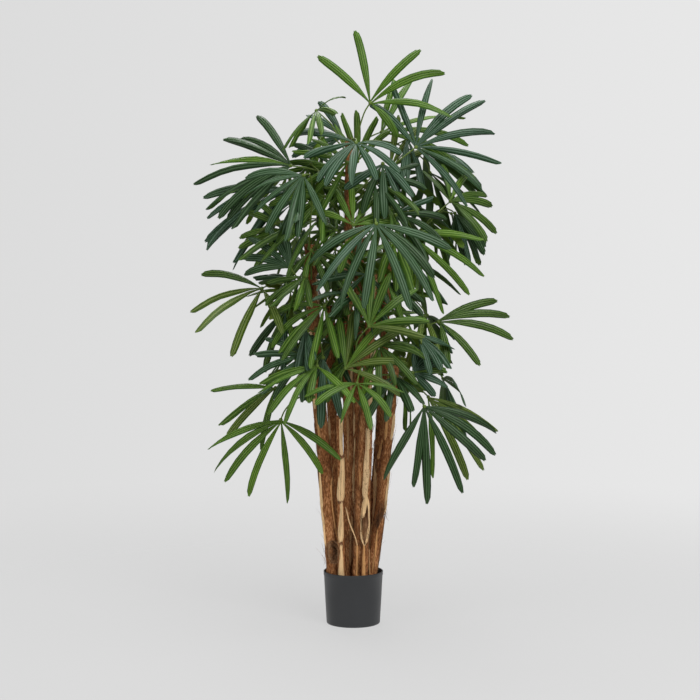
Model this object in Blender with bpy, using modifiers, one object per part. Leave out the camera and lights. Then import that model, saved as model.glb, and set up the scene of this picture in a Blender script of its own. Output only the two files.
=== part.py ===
"""Artificial lady palm: ten stems wrapped in fibre, with fan-shaped fronds, in a small black pot.

Metres, +Z up. The origin is the centre of the pot's flat underside, and the front looks along -Y.
"""

import math
import random
from collections import namedtuple

import bmesh
import bpy
from mathutils import Matrix, Quaternion, Vector
from mathutils.bvhtree import BVHTree

UP = Vector((0.0, 0.0, 1.0))
GAP = 0.0003
WELD = 0.00001
MM = 0.001

# Pot
POT_HEIGHT = 0.160
RIM_RADIUS = 0.090
FOOT_RADIUS = 0.081
POT_WALL = 0.003
POT_FLOOR = 0.004
RIM_BAND = 0.012
RIM_STEP = 0.0012
FOOT_ROUND = 0.004
FOOT_POINTS = 3
POT_STEPS = 32
FILL_TOP = 0.136
FILL_EDGE = 0.0015

# Stems: the foot and the tip as seen from the front (across, depth), the tip's height, and the radii
Stem = namedtuple("Stem", "foot tip top foot_radius tip_radius bow")
STEMS = {
    "left": Stem((-0.060, -0.016), (-0.131, -0.030), 1.150, 0.0205, 0.0160, (-0.003, 0.000)),
    "centre": Stem((-0.012, 0.004), (-0.014, 0.000), 1.455, 0.0172, 0.0110, (-0.003, 0.006)),
    "centre_right": Stem((0.014, -0.031), (0.060, -0.040), 1.060, 0.0178, 0.0145, (-0.003, -0.006)),
    "right": Stem((0.056, -0.010), (0.126, -0.012), 0.790, 0.0160, 0.0130, (0.004, 0.000)),
    "pale_left": Stem((-0.036, -0.052), (-0.044, -0.066), 0.640, 0.0112, 0.0090, (0.002, 0.000)),
    "pale_right": Stem((0.033, -0.060), (0.049, -0.070), 0.610, 0.0105, 0.0090, (0.000, 0.000)),
    "left_back": Stem((-0.043, 0.030), (-0.070, 0.100), 0.960, 0.0160, 0.0125, (-0.006, 0.006)),
    "back": Stem((0.001, 0.056), (0.020, 0.140), 1.230, 0.0165, 0.0120, (0.000, 0.010)),
    "right_back": Stem((0.045, 0.036), (0.105, 0.090), 1.120, 0.0150, 0.0120, (0.010, 0.004)),
    "stub_back": Stem((-0.070, 0.021), (-0.118, 0.045), 0.700, 0.0090, 0.0080, (0.000, 0.000)),
}
STEM_RINGS = 7
STEM_SIDES = 10
SHARP_FROM = 50
FLARE = 1.10
FLARE_HEIGHT = 0.020

# Fronds: the hub's place, then the way the blade faces. Face is the compass bearing that its upper
# side leans to, tilt is 0 for a level blade and 90 for a hanging one, and point turns the middle
# leaflet from straight downhill. The leaflets spread over an angle, and each has this length.
Frond = namedtuple("Frond", "stem hub face tilt point spread leaflets length tone")
FRONT = -90
SHOWN = (
    Frond("centre", (0.050, -0.050, 1.565), FRONT, 80, 137, 182, 6, 0.230, "bright"),
    Frond("centre", (0.185, -0.050, 1.435), FRONT, 75, 130, 175, 9, 0.265, "dark"),
    Frond("centre", (0.085, 0.080, 1.485), FRONT, 60, 110, 130, 6, 0.270, "bright"),
    Frond("centre", (0.008, -0.120, 1.445), -95, 40, -10, 200, 8, 0.225, "dark"),
    Frond("centre", (-0.030, 0.090, 1.470), -120, 70, -105, 80, 5, 0.240, "dark"),
    Frond("centre", (-0.185, -0.050, 1.380), -110, 60, -94, 115, 9, 0.290, "dark"),
    Frond("left", (-0.185, -0.110, 1.080), FRONT, 66, -145, 100, 6, 0.215, "dark"),
    Frond("left", (-0.145, -0.150, 1.350), -100, 60, -35, 120, 7, 0.235, "dark"),
    Frond("left", (-0.195, 0.060, 1.310), -100, 75, -70, 60, 6, 0.300, "dark"),
    Frond("left", (-0.100, -0.060, 1.225), -130, 30, -50, 120, 6, 0.270, "bright"),
    Frond("left", (-0.274, 0.000, 1.016), FRONT, 38, -50, 150, 5, 0.250, "bright"),
    Frond("left", (-0.165, 0.110, 1.034), -170, -8, 0, 120, 5, 0.190, "dark"),
    Frond("left", (-0.205, 0.035, 0.945), FRONT, 82, -12, 58, 4, 0.245, "dark"),
    Frond("left", (-0.140, -0.150, 0.825), -105, 58, -60, 115, 6, 0.215, "dark"),
    Frond("left", (-0.235, 0.010, 0.715), -95, 65, -72, 110, 5, 0.205, "bright"),
    Frond("left", (-0.215, -0.100, 0.630), FRONT, 85, -10, 128, 7, 0.245, "bright"),
    Frond("left", (-0.088, -0.190, 0.822), -95, 80, 9, 18, 2, 0.230, "dark"),
    Frond("centre_right", (0.010, -0.280, 0.755), FRONT, 32, -4, 170, 6, 0.165, "bright"),
    Frond("centre_right", (0.208, -0.150, 0.675), -80, 85, 25, 124, 7, 0.272, "dark"),
    Frond("right", (0.225, -0.020, 0.690), -60, 80, 35, 75, 5, 0.290, "bright"),
    Frond("right", (0.255, 0.000, 0.915), -85, 65, 88, 105, 5, 0.240, "bright"),
    Frond("centre_right", (0.065, -0.250, 1.210), -88, 62, 3, 155, 8, 0.262, "dark"),
    Frond("centre_right", (0.158, -0.050, 1.180), -80, 80, 48, 85, 5, 0.265, "bright"),
    Frond("right_back", (0.290, 0.000, 1.275), -60, 50, 120, 150, 7, 0.210, "dark"),
    Frond("right_back", (0.310, 0.110, 1.240), -70, 85, 25, 70, 6, 0.205, "dark"),
    Frond("centre", (0.235, 0.150, 1.365), 60, 50, 20, 150, 7, 0.240, "dark"),
    Frond("centre", (0.000, -0.110, 1.205), FRONT, 60, 170, 130, 6, 0.160, "bright"),
    Frond("right_back", (0.130, 0.150, 1.270), 40, 40, 0, 150, 7, 0.240, "dark"),
    Frond("centre_right", (-0.023, -0.200, 0.792), FRONT, 75, 138, 110, 6, 0.205, "bright"),
    Frond("centre_right", (0.045, -0.230, 0.915), FRONT, 72, 145, 120, 6, 0.195, "bright"),
    Frond("centre", (-0.085, -0.150, 0.970), -120, 50, -30, 120, 6, 0.205, "bright"),
    Frond("left", (-0.105, -0.220, 0.800), -110, 40, -20, 140, 7, 0.200, "bright"),
    Frond("right", (0.175, -0.090, 0.770), -80, 65, 105, 110, 6, 0.180, "dark"),
    Frond("centre_right", (0.190, -0.080, 0.880), -60, 50, 60, 120, 6, 0.210, "dark"),
)

# The back of the crown, grown by rule: stems in turn, bearings a fixed turn apart
BACK_STEMS = ("back", "left_back", "right_back")
BACK_COUNT = 12
BACK_LOW = 0.730
BACK_HIGH = 1.430
BACK_SWEEP = (10, 170)
BACK_TURN = 61.0
BACK_REACH = (0.150, 0.270)
BACK_TILT = (30, 75)
BACK_SPREAD = 150
BACK_LEAFLETS = 7
BACK_LENGTH = 0.245
BACK_TILT_RANGE = 8
BACK_POINT_RANGE = 25

# Petioles
PETIOLE_RADIUS = 0.0028
PETIOLE_TIP = 0.0021
PETIOLE_POINTS = 6
PETIOLE_SIDES = 4
LOWEST_PETIOLE = 0.420
BELOW_TIP = 0.014
ROOT_GAP = 0.00045
ROOT_LIFT = 0.004
RISE_LEVEL = 0.25
RISE_STEEP = 0.70
LEAVE_OUT = 0.8
LEAVE_UP = 0.6
HANDLE = 0.30
ROUTE_STEP = 0.022
ROUTE_STEPS = 6
ROUTE_TURNS = (0, 25, -25, 50, -50)
ROUTE_SWINGS = (0.0, 0.12, -0.12)
TEST_SIDES = 6

# Leaflets
HUB_RADIUS = 0.015
HUB_HALF = 0.0036
HUB_SIDES = 8
LEAF_ROOT = 0.010
LEAF_WIDTH = 0.026
LEAF_THICKNESS = 0.0032
LEAF_STATIONS = (0.0, 0.34, 0.84, 1.0)
LOOK_AHEAD = 0.01
WIDTH_AT = ((0.0, 0.20), (0.10, 0.34), (0.30, 0.70), (0.62, 1.0), (0.86, 0.88), (1.0, 0.40))
MIDRIB_SHARE = 0.6
SIDE_SHORTER = 0.12
SLOWING = 0.12
DROOP = 0.30
DROOP_RANGE = (0.6, 1.5)
ARCH = 0.04
ANGLE_RANGE = 3.5
LENGTH_RANGE = (0.93, 1.04)
ROLL_RANGE = 28
LIFT_RANGE = 0.08
SPARE = 0.0012
LEAF_TRIES = (
    (0, 1.0, 1.0), (5, 1.0, 1.0), (-5, 1.0, 1.0), (0, 0.5, 1.0), (0, 1.6, 1.0),
    (9, 0.7, 1.0), (-9, 0.7, 1.0), (4, 0.3, 0.9), (-4, 1.8, 0.9), (0, 1.0, 0.82),
    (8, 1.4, 0.8), (-8, 0.4, 0.8), (0, 0.5, 0.68), (0, 1.6, 0.6),
)
SEED = 7

# Side fans: smaller blades on a short branch of a long petiole
SIDE_FROM = 0.150
SIDE_AT = 0.55
SIDE_BRANCH = 0.045
SIDE_LENGTH = 0.155
SIDE_SPREAD = 105
SIDE_LEAFLETS = 5
SIDE_LEAST = 3
SIDE_COUNT = 12
SIDE_WAY = (0.4, 0.8, 0.45)
SIDE_TILT = (35, 75)

COLOURS = {
    "pot": ((0.045, 0.047, 0.049), 0.45),
    "fill": ((0.020, 0.017, 0.014), 0.95),
    "fibre": ((0.100, 0.044, 0.018), 0.90),
    "straw": ((0.450, 0.300, 0.150), 0.75),
    "dark": ((0.030, 0.085, 0.040), 0.45),
    "bright": ((0.060, 0.140, 0.022), 0.45),
}


def clear_scene():
    for obj in list(bpy.data.objects):
        bpy.data.objects.remove(obj, do_unlink=True)


def new_collection(name):
    collection = bpy.data.collections.new(name)
    bpy.context.scene.collection.children.link(collection)
    return collection


def material(name):
    found = bpy.data.materials.get(name)
    if found:
        return found
    colour, roughness = COLOURS[name]
    made = bpy.data.materials.new(name)
    made.use_nodes = True
    shader = made.node_tree.nodes["Principled BSDF"]
    shader.inputs["Base Color"].default_value = (*colour, 1.0)
    shader.inputs["Roughness"].default_value = roughness
    shader.inputs["Metallic"].default_value = 0.0
    made.diffuse_color = (*colour, 1.0)
    return made


def new_object(name, mesh, collection, finish):
    mesh.name = name
    mesh.materials.append(material(finish))
    obj = bpy.data.objects.new(name, mesh)
    collection.objects.link(obj)
    return obj


def new_mesh(name, points, faces):
    mesh = bpy.data.meshes.new(name)
    mesh.from_pydata(points, [], faces)
    mesh.update()
    return mesh


def lerp(a, b, t):
    return a + (b - a) * t


def smooth(t):
    return t * t * (3.0 - 2.0 * t)


def read_curve(pairs, t):
    """The value at t of a curve given by (t, value) pairs, eased from each pair to the next."""
    for (low, first), (high, second) in zip(pairs, pairs[1:]):
        if t <= high:
            return lerp(first, second, smooth((t - low) / (high - low)))
    return pairs[-1][1]


def bearing(degrees):
    angle = math.radians(degrees)
    return Vector((math.cos(angle), math.sin(angle), 0.0))


def turned(name, profile, collection, finish):
    """A solid of revolution about Z, from a profile of (radius, height) that starts and ends on the axis."""
    mesh = bpy.data.meshes.new(name)
    edges = [(i, i + 1) for i in range(len(profile) - 1)]
    mesh.from_pydata([(radius, 0.0, height) for radius, height in profile], edges, [])
    obj = new_object(name, mesh, collection, finish)
    screw = obj.modifiers.new("turn", "SCREW")
    screw.steps = POT_STEPS
    screw.render_steps = POT_STEPS
    screw.use_merge_vertices = True
    screw.merge_threshold = WELD
    screw.use_smooth_shade = False
    return obj


def pot_radius(height):
    return lerp(FOOT_RADIUS, RIM_RADIUS, height / POT_HEIGHT)


def make_pot(collection):
    band_foot = POT_HEIGHT - RIM_BAND
    foot_side = pot_radius(FOOT_ROUND)
    profile = [
        (0.0, POT_FLOOR),
        (pot_radius(POT_FLOOR) - POT_WALL, POT_FLOOR),
        (RIM_RADIUS - POT_WALL, POT_HEIGHT - MM),
        (RIM_RADIUS - POT_WALL + MM, POT_HEIGHT),
        (RIM_RADIUS - MM, POT_HEIGHT),
        (RIM_RADIUS, POT_HEIGHT - MM),
        (pot_radius(band_foot) + RIM_STEP / 2, band_foot),
        (pot_radius(band_foot) - RIM_STEP / 2, band_foot - RIM_STEP),
    ]
    for i in range(FOOT_POINTS):
        angle = math.pi / 2 * i / (FOOT_POINTS - 1)
        out = foot_side - FOOT_ROUND + FOOT_ROUND * math.cos(angle)
        profile.append((out, FOOT_ROUND - FOOT_ROUND * math.sin(angle)))
    profile.append((0.0, 0.0))
    return turned("pot", profile, collection, "pot")


def make_fill(collection):
    low = POT_FLOOR + GAP
    corner = math.cos(math.pi / POT_STEPS)
    floor_side = (pot_radius(low) - POT_WALL - GAP) * corner
    top_side = (pot_radius(FILL_TOP) - POT_WALL - GAP) * corner
    profile = [
        (0.0, FILL_TOP),
        (top_side - FILL_EDGE, FILL_TOP),
        (top_side, FILL_TOP - FILL_EDGE),
        (floor_side, low),
        (0.0, low),
    ]
    return turned("fill", profile, collection, "fill")


def stem_axis(stem, height):
    """The stem's centre at this height: a slanted line that bows sideways between foot and tip."""
    foot = FILL_TOP + GAP
    t = (height - foot - FLARE_HEIGHT) / (stem.top - foot - FLARE_HEIGHT)
    t = min(max(t, 0.0), 1.0)
    swell = math.sin(math.pi * t)
    across = lerp(stem.foot[0], stem.tip[0], t) + stem.bow[0] * swell
    depth = lerp(stem.foot[1], stem.tip[1], t) + stem.bow[1] * swell
    return Vector((across, depth, height))


def stem_radius(stem, height):
    foot = FILL_TOP + GAP
    t = (height - foot) / (stem.top - foot)
    flare = lerp(FLARE, 1.0, min((height - foot) / FLARE_HEIGHT, 1.0))
    return lerp(stem.foot_radius, stem.tip_radius, t) * flare


def stem_heights(stem):
    foot = FILL_TOP + GAP
    rest = foot + FLARE_HEIGHT
    return [foot] + [lerp(rest, stem.top, i / (STEM_RINGS - 1)) for i in range(STEM_RINGS)]


def tube(name, points, radii, sides, collection, finish):
    """A tube along the points, made a mesh with its caps welded. Sides is 4, 6, 8 and so on."""
    curve = bpy.data.curves.new(name, "CURVE")
    curve.dimensions = "3D"
    curve.bevel_depth = 1.0
    curve.bevel_resolution = sides // 2 - 2
    curve.use_fill_caps = True
    spline = curve.splines.new("POLY")
    spline.points.add(len(points) - 1)
    for point, place, radius in zip(spline.points, points, radii):
        point.co = (*place, 1.0)
        point.radius = radius
    guide = bpy.data.objects.new(name + "_route", curve)
    collection.objects.link(guide)
    graph = bpy.context.evaluated_depsgraph_get()
    mesh = bpy.data.meshes.new_from_object(guide.evaluated_get(graph))
    welded = bmesh.new()
    welded.from_mesh(mesh)
    bmesh.ops.remove_doubles(welded, verts=welded.verts, dist=WELD)
    bmesh.ops.recalc_face_normals(welded, faces=welded.faces)
    welded.to_mesh(mesh)
    welded.free()
    mesh.transform(guide.matrix_world)
    mesh.materials.clear()
    bpy.data.objects.remove(guide)
    bpy.data.curves.remove(curve)
    return new_object(name, mesh, collection, finish)


def make_stem(name, stem, collection):
    heights = stem_heights(stem)
    points = [stem_axis(stem, height) for height in heights]
    radii = [stem_radius(stem, height) for height in heights]
    finish = "straw" if name.startswith("pale") else "fibre"
    obj = tube("stem_" + name, points, radii, STEM_SIDES, collection, finish)
    obj.data.shade_smooth()
    obj.data.set_sharp_from_angle(angle=math.radians(SHARP_FROM))
    return obj


def blade_frame(frond):
    """The blade's middle direction, its sideways direction and its upper side's normal."""
    tilt = math.radians(frond.tilt)
    point = math.radians(frond.point)
    out = bearing(frond.face)
    normal = out * math.sin(tilt) + UP * math.cos(tilt)
    downhill = out * math.cos(tilt) - UP * math.sin(tilt)
    across = normal.cross(downhill)
    middle = downhill * math.cos(point) + across * math.sin(point)
    return middle, normal.cross(middle), normal


def leaflet_spine(hub, way, normal, length, droop, t):
    """A leaflet's midrib at t: it leaves the hub arched over the blade, and sinks towards its tip."""
    sag = way * way.z - UP
    along = way * (t - SLOWING * droop * t ** 3)
    return hub + (along + normal * (ARCH * math.sin(math.pi * t)) + sag * (0.5 * droop * t * t)) * length


def leaflet_rings(leaf, stations, spare):
    """Three-cornered sections of a leaflet, two edges and a raised midrib, made larger all round by spare."""
    hub, way, normal, length, droop, roll = leaf
    rings = []
    for t in stations:
        here = leaflet_spine(hub, way, normal, length, droop, t)
        ahead = leaflet_spine(hub, way, normal, length, droop, t + LOOK_AHEAD) - here
        ahead.normalize()
        side = ahead.cross(normal).normalized()
        side.rotate(Quaternion(ahead, roll * t))
        top = side.cross(ahead).normalized()
        half = LEAF_WIDTH / 2 * read_curve(WIDTH_AT, t) + spare
        low = here - top * (LEAF_THICKNESS * (1.0 - MIDRIB_SHARE) + spare)
        high = here + top * (LEAF_THICKNESS * MIDRIB_SHARE + spare)
        rings.append([low + side * half, low - side * half, high])
    return rings


def loft(rings):
    """Points and faces of a closed body through rings of like corners."""
    corners = len(rings[0])
    points = [corner for ring in rings for corner in ring]
    faces = [tuple(reversed(range(corners)))]
    for i in range(len(rings) - 1):
        for j in range(corners):
            a = i * corners + j
            b = i * corners + (j + 1) % corners
            faces.append((a, b, b + corners, a + corners))
    last = (len(rings) - 1) * corners
    faces.append(tuple(range(last, last + corners)))
    return points, faces


def tube_rings(points, radii, sides, spare):
    rings = []
    for i, (point, radius) in enumerate(zip(points, radii)):
        ahead = points[min(i + 1, len(points) - 1)] - points[max(i - 1, 0)]
        turn = ahead.to_track_quat("Z", "Y")
        ring = []
        for j in range(sides):
            angle = 2 * math.pi * j / sides
            ring.append(point + turn @ (Vector((math.cos(angle), math.sin(angle), 0.0)) * (radius + spare)))
        rings.append(ring)
    return rings


class Space:
    """The bodies placed so far, which a new one must stay clear of."""

    def __init__(self):
        self.taken = []

    def copy(self):
        other = Space()
        other.taken = list(self.taken)
        return other

    def add(self, owner, points, faces):
        low = Vector([min(point[k] for point in points) for k in range(3)])
        high = Vector([max(point[k] for point in points) for k in range(3)])
        self.taken.append((owner, low, high, BVHTree.FromPolygons(points, faces)))

    def free(self, owners, points, faces):
        low = Vector([min(point[k] for point in points) for k in range(3)])
        high = Vector([max(point[k] for point in points) for k in range(3)])
        tree = BVHTree.FromPolygons(points, faces)
        for other, other_low, other_high, other_tree in self.taken:
            if other in owners:
                continue
            if any(low[k] > other_high[k] or high[k] < other_low[k] for k in range(3)):
                continue
            if tree.overlap(other_tree):
                return False
        return True


def back_fronds():
    """The fronds behind, one after another round the far side from low to high."""
    rng = random.Random(SEED)
    fronds = []
    first, last = BACK_SWEEP
    for i in range(BACK_COUNT):
        name = BACK_STEMS[i % len(BACK_STEMS)]
        rise = i / (BACK_COUNT - 1)
        way = first + (BACK_TURN * i) % (last - first)
        height = lerp(BACK_LOW, BACK_HIGH, rise)
        reach = lerp(BACK_REACH[1], BACK_REACH[0], rise * rise)
        hub = stem_axis(STEMS[name], min(height, STEMS[name].top)) + bearing(way) * reach
        hub.z = height
        tilt = lerp(BACK_TILT[1], BACK_TILT[0], rise) + rng.uniform(-BACK_TILT_RANGE, BACK_TILT_RANGE)
        point = rng.uniform(-BACK_POINT_RANGE, BACK_POINT_RANGE)
        tone = "bright" if i % 3 == 1 else "dark"
        fronds.append(Frond(name, hub, way, tilt, point, BACK_SPREAD, BACK_LEAFLETS, BACK_LENGTH, tone))
    return fronds


def petiole_route(frond, root, normal, middle, swing):
    """The petiole's centre line: square off the stem, out and up, then in line with the blade."""
    hub = Vector(frond.hub)
    span = (hub - root).length
    start = root + normal * ROOT_LIFT
    leave = start + (normal * LEAVE_OUT + UP * LEAVE_UP).normalized() * span * HANDLE
    side = normal.cross(UP).normalized() * swing * span
    arrive = hub - middle * span * HANDLE
    points = [root]
    for i in range(PETIOLE_POINTS):
        t = i / (PETIOLE_POINTS - 1)
        a = start.lerp(leave + side, t)
        b = (leave + side).lerp(arrive + side, t)
        c = (arrive + side).lerp(hub, t)
        points.append(a.lerp(b, t).lerp(b.lerp(c, t), t))
    return points


def hub_rings(hub, normal, spare):
    """The small plate that the leaflets grow from, as two rings."""
    turn = normal.to_track_quat("Z", "Y")
    rings = []
    for level in (-HUB_HALF - spare, HUB_HALF + spare):
        ring = []
        for j in range(HUB_SIDES):
            angle = 2 * math.pi * j / HUB_SIDES
            corner = Vector((math.cos(angle), math.sin(angle), 0.0)) * (HUB_RADIUS + spare)
            ring.append(hub + turn @ (corner + UP * level))
        rings.append(ring)
    return rings


def petiole_radii(points):
    return [lerp(PETIOLE_RADIUS, PETIOLE_TIP, i / (len(points) - 1)) for i in range(len(points))]


def route_lifts():
    """How far a petiole's root may move up or down the stem to come clear, the least first."""
    return sorted((ROUTE_STEP * i for i in range(-ROUTE_STEPS, ROUTE_STEPS + 1)), key=abs)


def plan_petiole(owner, frond, tree, space):
    """The first route from the stem to the hub that is clear of all that is placed, or None."""
    stem = STEMS[frond.stem]
    middle, _, upper = blade_frame(frond)
    hub = Vector(frond.hub)
    plate = loft(hub_rings(hub, upper, SPARE))
    if not space.free({owner}, *plate):
        return None
    axis = stem_axis(stem, min(hub.z, stem.top))
    reach = Vector((hub.x - axis.x, hub.y - axis.y)).length
    wanted = hub.z - reach * (RISE_LEVEL + RISE_STEEP * middle.z)
    for lift in route_lifts():
        height = min(max(wanted + lift, LOWEST_PETIOLE), stem.top - BELOW_TIP - abs(lift))
        axis = stem_axis(stem, height)
        out = Vector((hub.x - axis.x, hub.y - axis.y, 0.0)).normalized()
        for turn in ROUTE_TURNS:
            side = out.copy()
            side.rotate(Quaternion(UP, math.radians(turn)))
            place, normal, _, _ = tree.ray_cast(axis + side * RIM_RADIUS, -side)
            if place is None:
                continue
            for swing in ROUTE_SWINGS:
                route = petiole_route(frond, place + normal * ROOT_GAP, normal, middle, swing)
                points, faces = loft(tube_rings(route[1:], petiole_radii(route)[1:], TEST_SIDES, SPARE))
                if space.free({owner}, points, faces):
                    space.add(owner, points, faces)
                    space.add(owner, *plate)
                    return route
    return None


def plan_leaflets(owners, frond, rng, space):
    """The frond's leaflets, each turned, sunk or shortened as little as keeps it clear, or skipped.

    The first of the owners takes them. They may touch what belongs to any of the owners.
    """
    middle, across, normal = blade_frame(frond)
    hub = Vector(frond.hub)
    leaves = []
    for i in range(frond.leaflets):
        share = i / (frond.leaflets - 1) * 2.0 - 1.0
        angle = share * frond.spread / 2 + rng.uniform(-ANGLE_RANGE, ANGLE_RANGE)
        length = frond.length * (1.0 - SIDE_SHORTER * share * share) * rng.uniform(*LENGTH_RANGE)
        droop = DROOP * rng.uniform(*DROOP_RANGE)
        roll = math.radians(rng.uniform(-ROLL_RANGE, ROLL_RANGE))
        lift = rng.uniform(-LIFT_RANGE, LIFT_RANGE)
        for turn, sink, shorten in LEAF_TRIES:
            leaf_angle = math.radians(angle + turn)
            way = middle * math.cos(leaf_angle) + across * math.sin(leaf_angle) + normal * lift
            way.normalize()
            leaf = (hub + way * LEAF_ROOT, way, normal, length * shorten, droop * sink, roll)
            points, faces = loft(leaflet_rings(leaf, LEAF_STATIONS, SPARE))
            if space.free(owners, points, faces):
                space.add(owners[0], points, faces)
                leaves.append(leaf)
                break
    return leaves


def plan_side_fan(name, frond, route, turn, rng, space):
    """A smaller blade on a short branch of the frond's petiole: (hub, normal, root, leaflets), or None."""
    at = SIDE_AT * (len(route) - 1)
    before = int(at)
    root = route[before].lerp(route[before + 1], at - before)
    ahead = (route[before + 1] - route[before]).normalized()
    side = ahead.cross(UP).normalized() * turn
    way = (ahead * SIDE_WAY[0] + side * SIDE_WAY[1] + UP * SIDE_WAY[2]).normalized()
    hub = root + way * SIDE_BRANCH
    heading = math.degrees(math.atan2(way.y, way.x))
    tilt = rng.uniform(*SIDE_TILT)
    fan = Frond(frond.stem, hub, heading, tilt, 0, SIDE_SPREAD, SIDE_LEAFLETS, SIDE_LENGTH, frond.tone)
    normal = blade_frame(fan)[2]
    plate = loft(hub_rings(hub, normal, SPARE))
    stalk = loft(tube_rings([root, hub], [PETIOLE_TIP, PETIOLE_TIP], TEST_SIDES, SPARE))
    if not (space.free({name}, *plate) and space.free({name}, *stalk)):
        return None
    trial = space.copy()
    leaves = plan_leaflets((name + "_side", name), fan, rng, trial)
    if len(leaves) < SIDE_LEAST:
        return None
    space.taken = trial.taken
    space.add(name, *plate)
    space.add(name, *stalk)
    return hub, normal, root, leaves


def frond_rng(number, kind):
    """A frond's own chances, so that a change to one frond leaves the others as they were."""
    return random.Random(SEED * 1000 + number * 10 + kind)


def plan_crown(stem_trees, space):
    """Every frond's petiole first, so that none is crowded out, then the leaflets, then the side fans."""
    fronds = []
    for number, frond in enumerate([*SHOWN, *back_fronds()], 1):
        name = f"frond_{number:02d}"
        route = plan_petiole(name, frond, stem_trees[frond.stem], space)
        if route:
            fronds.append((number, name, frond, route))
    blades = []
    for number, name, frond, _ in fronds:
        blades.append(plan_leaflets((name + "_fan", name), frond, frond_rng(number, 1), space))
    crown = []
    sides = 0
    for (number, name, frond, route), leaves in zip(fronds, blades):
        fan = None
        long_enough = (route[-1] - route[0]).length > SIDE_FROM
        for turn in (1, -1):
            if long_enough and not fan and sides < SIDE_COUNT:
                fan = plan_side_fan(name, frond, route, turn, frond_rng(number, 2), space)
        sides += bool(fan)
        crown.append((name, frond, route, leaves, fan))
    return crown


def bodies_of(shape):
    """The sets of faces that hang together across edges of two faces, the smallest set first."""
    left = set(shape.faces)
    bodies = []
    while left:
        body = set()
        queue = [left.pop()]
        while queue:
            face = queue.pop()
            body.add(face)
            sound = [edge for edge in face.edges if len(edge.link_faces) == 2]
            linked = {other for edge in sound for other in edge.link_faces} & left
            left -= linked
            queue.extend(linked)
        bodies.append(body)
    return sorted(bodies, key=len)


def largest_body(mesh):
    """Keeps only the largest body, so that no scrap or sealed hollow is left. True if it is closed."""
    shape = bmesh.new()
    shape.from_mesh(mesh)
    bmesh.ops.remove_doubles(shape, verts=shape.verts, dist=WELD)
    bmesh.ops.dissolve_degenerate(shape, edges=shape.edges, dist=WELD)
    bmesh.ops.triangulate(shape, faces=shape.faces)
    for body in bodies_of(shape)[:-1]:
        bmesh.ops.delete(shape, geom=list(body), context="FACES")
    bmesh.ops.recalc_face_normals(shape, faces=shape.faces)
    closed = all(edge.is_manifold for edge in shape.edges)
    shape.to_mesh(mesh)
    shape.free()
    return closed


def make_plate(name, hub, normal, finish, loose):
    plate = bmesh.new()
    bmesh.ops.create_cone(
        plate, cap_ends=True, segments=HUB_SIDES, radius1=HUB_RADIUS, radius2=HUB_RADIUS, depth=2 * HUB_HALF
    )
    mesh = bpy.data.meshes.new(name)
    plate.to_mesh(mesh)
    plate.free()
    obj = new_object(name, mesh, loose, finish)
    mesh.transform(normal.to_track_quat("Z", "Y").to_matrix().to_4x4())
    mesh.transform(Matrix.Translation(hub))
    return obj


def make_leaflets(name, leaves, finish, loose):
    for i, leaf in enumerate(leaves):
        points, faces = loft(leaflet_rings(leaf, LEAF_STATIONS, 0.0))
        new_object(f"{name}_leaf_{i}", new_mesh(name, points, faces), loose, finish)


def join_all(obj, loose):
    """Unites the object with all that is loose, and removes that."""
    union = obj.modifiers.new("union", "BOOLEAN")
    union.operation = "UNION"
    union.operand_type = "COLLECTION"
    union.collection = loose
    for solver in ("EXACT", "MANIFOLD"):
        union.solver = solver
        graph = bpy.context.evaluated_depsgraph_get()
        joined = bpy.data.meshes.new_from_object(obj.evaluated_get(graph))
        if largest_body(joined):
            break
    for other in list(loose.objects):
        bpy.data.objects.remove(other)
    obj.modifiers.clear()
    obj.data = joined
    joined.name = obj.name


def make_frond(name, frond, route, leaves, fan, collection, loose):
    """One body: the petiole, the hub plate, the leaflets and any side fan."""
    petiole = tube(name, route, petiole_radii(route), PETIOLE_SIDES, collection, frond.tone)
    make_plate(name + "_hub", Vector(frond.hub), blade_frame(frond)[2], frond.tone, loose)
    make_leaflets(name, leaves, frond.tone, loose)
    if fan:
        hub, normal, root, side_leaves = fan
        make_plate(name + "_side_hub", hub, normal, frond.tone, loose)
        make_leaflets(name + "_side", side_leaves, frond.tone, loose)
        tube(name + "_stalk", [root, hub], [PETIOLE_TIP, PETIOLE_TIP], PETIOLE_SIDES, loose, frond.tone)
    join_all(petiole, loose)
    return petiole


def build():
    clear_scene()
    plant = new_collection("lady_palm")
    loose = new_collection("to_join")
    make_pot(plant)
    make_fill(plant)
    space = Space()
    trees = {}
    for name, stem in STEMS.items():
        obj = make_stem(name, stem, plant)
        points = [vert.co.copy() for vert in obj.data.vertices]
        faces = [tuple(face.vertices) for face in obj.data.polygons]
        trees[name] = BVHTree.FromPolygons(points, faces)
        space.add(name, points, faces)
    for name, frond, route, leaves, fan in plan_crown(trees, space):
        make_frond(name, frond, route, leaves, fan, plant, loose)
    bpy.data.collections.remove(loose)


if __name__ == "__main__":
    build()
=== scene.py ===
"""The looks of an artificial lady palm in a small black pot.

Metres, +Z up, the front along -Y. The crown grows by the rule of the part's source, written again here,
and each leaflet, petiole and stem is then made in fine detail where that rule puts it.
"""

import math
import random
from collections import namedtuple

import bmesh
import bpy
from mathutils import Matrix, Quaternion, Vector, noise
from mathutils.bvhtree import BVHTree


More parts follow.
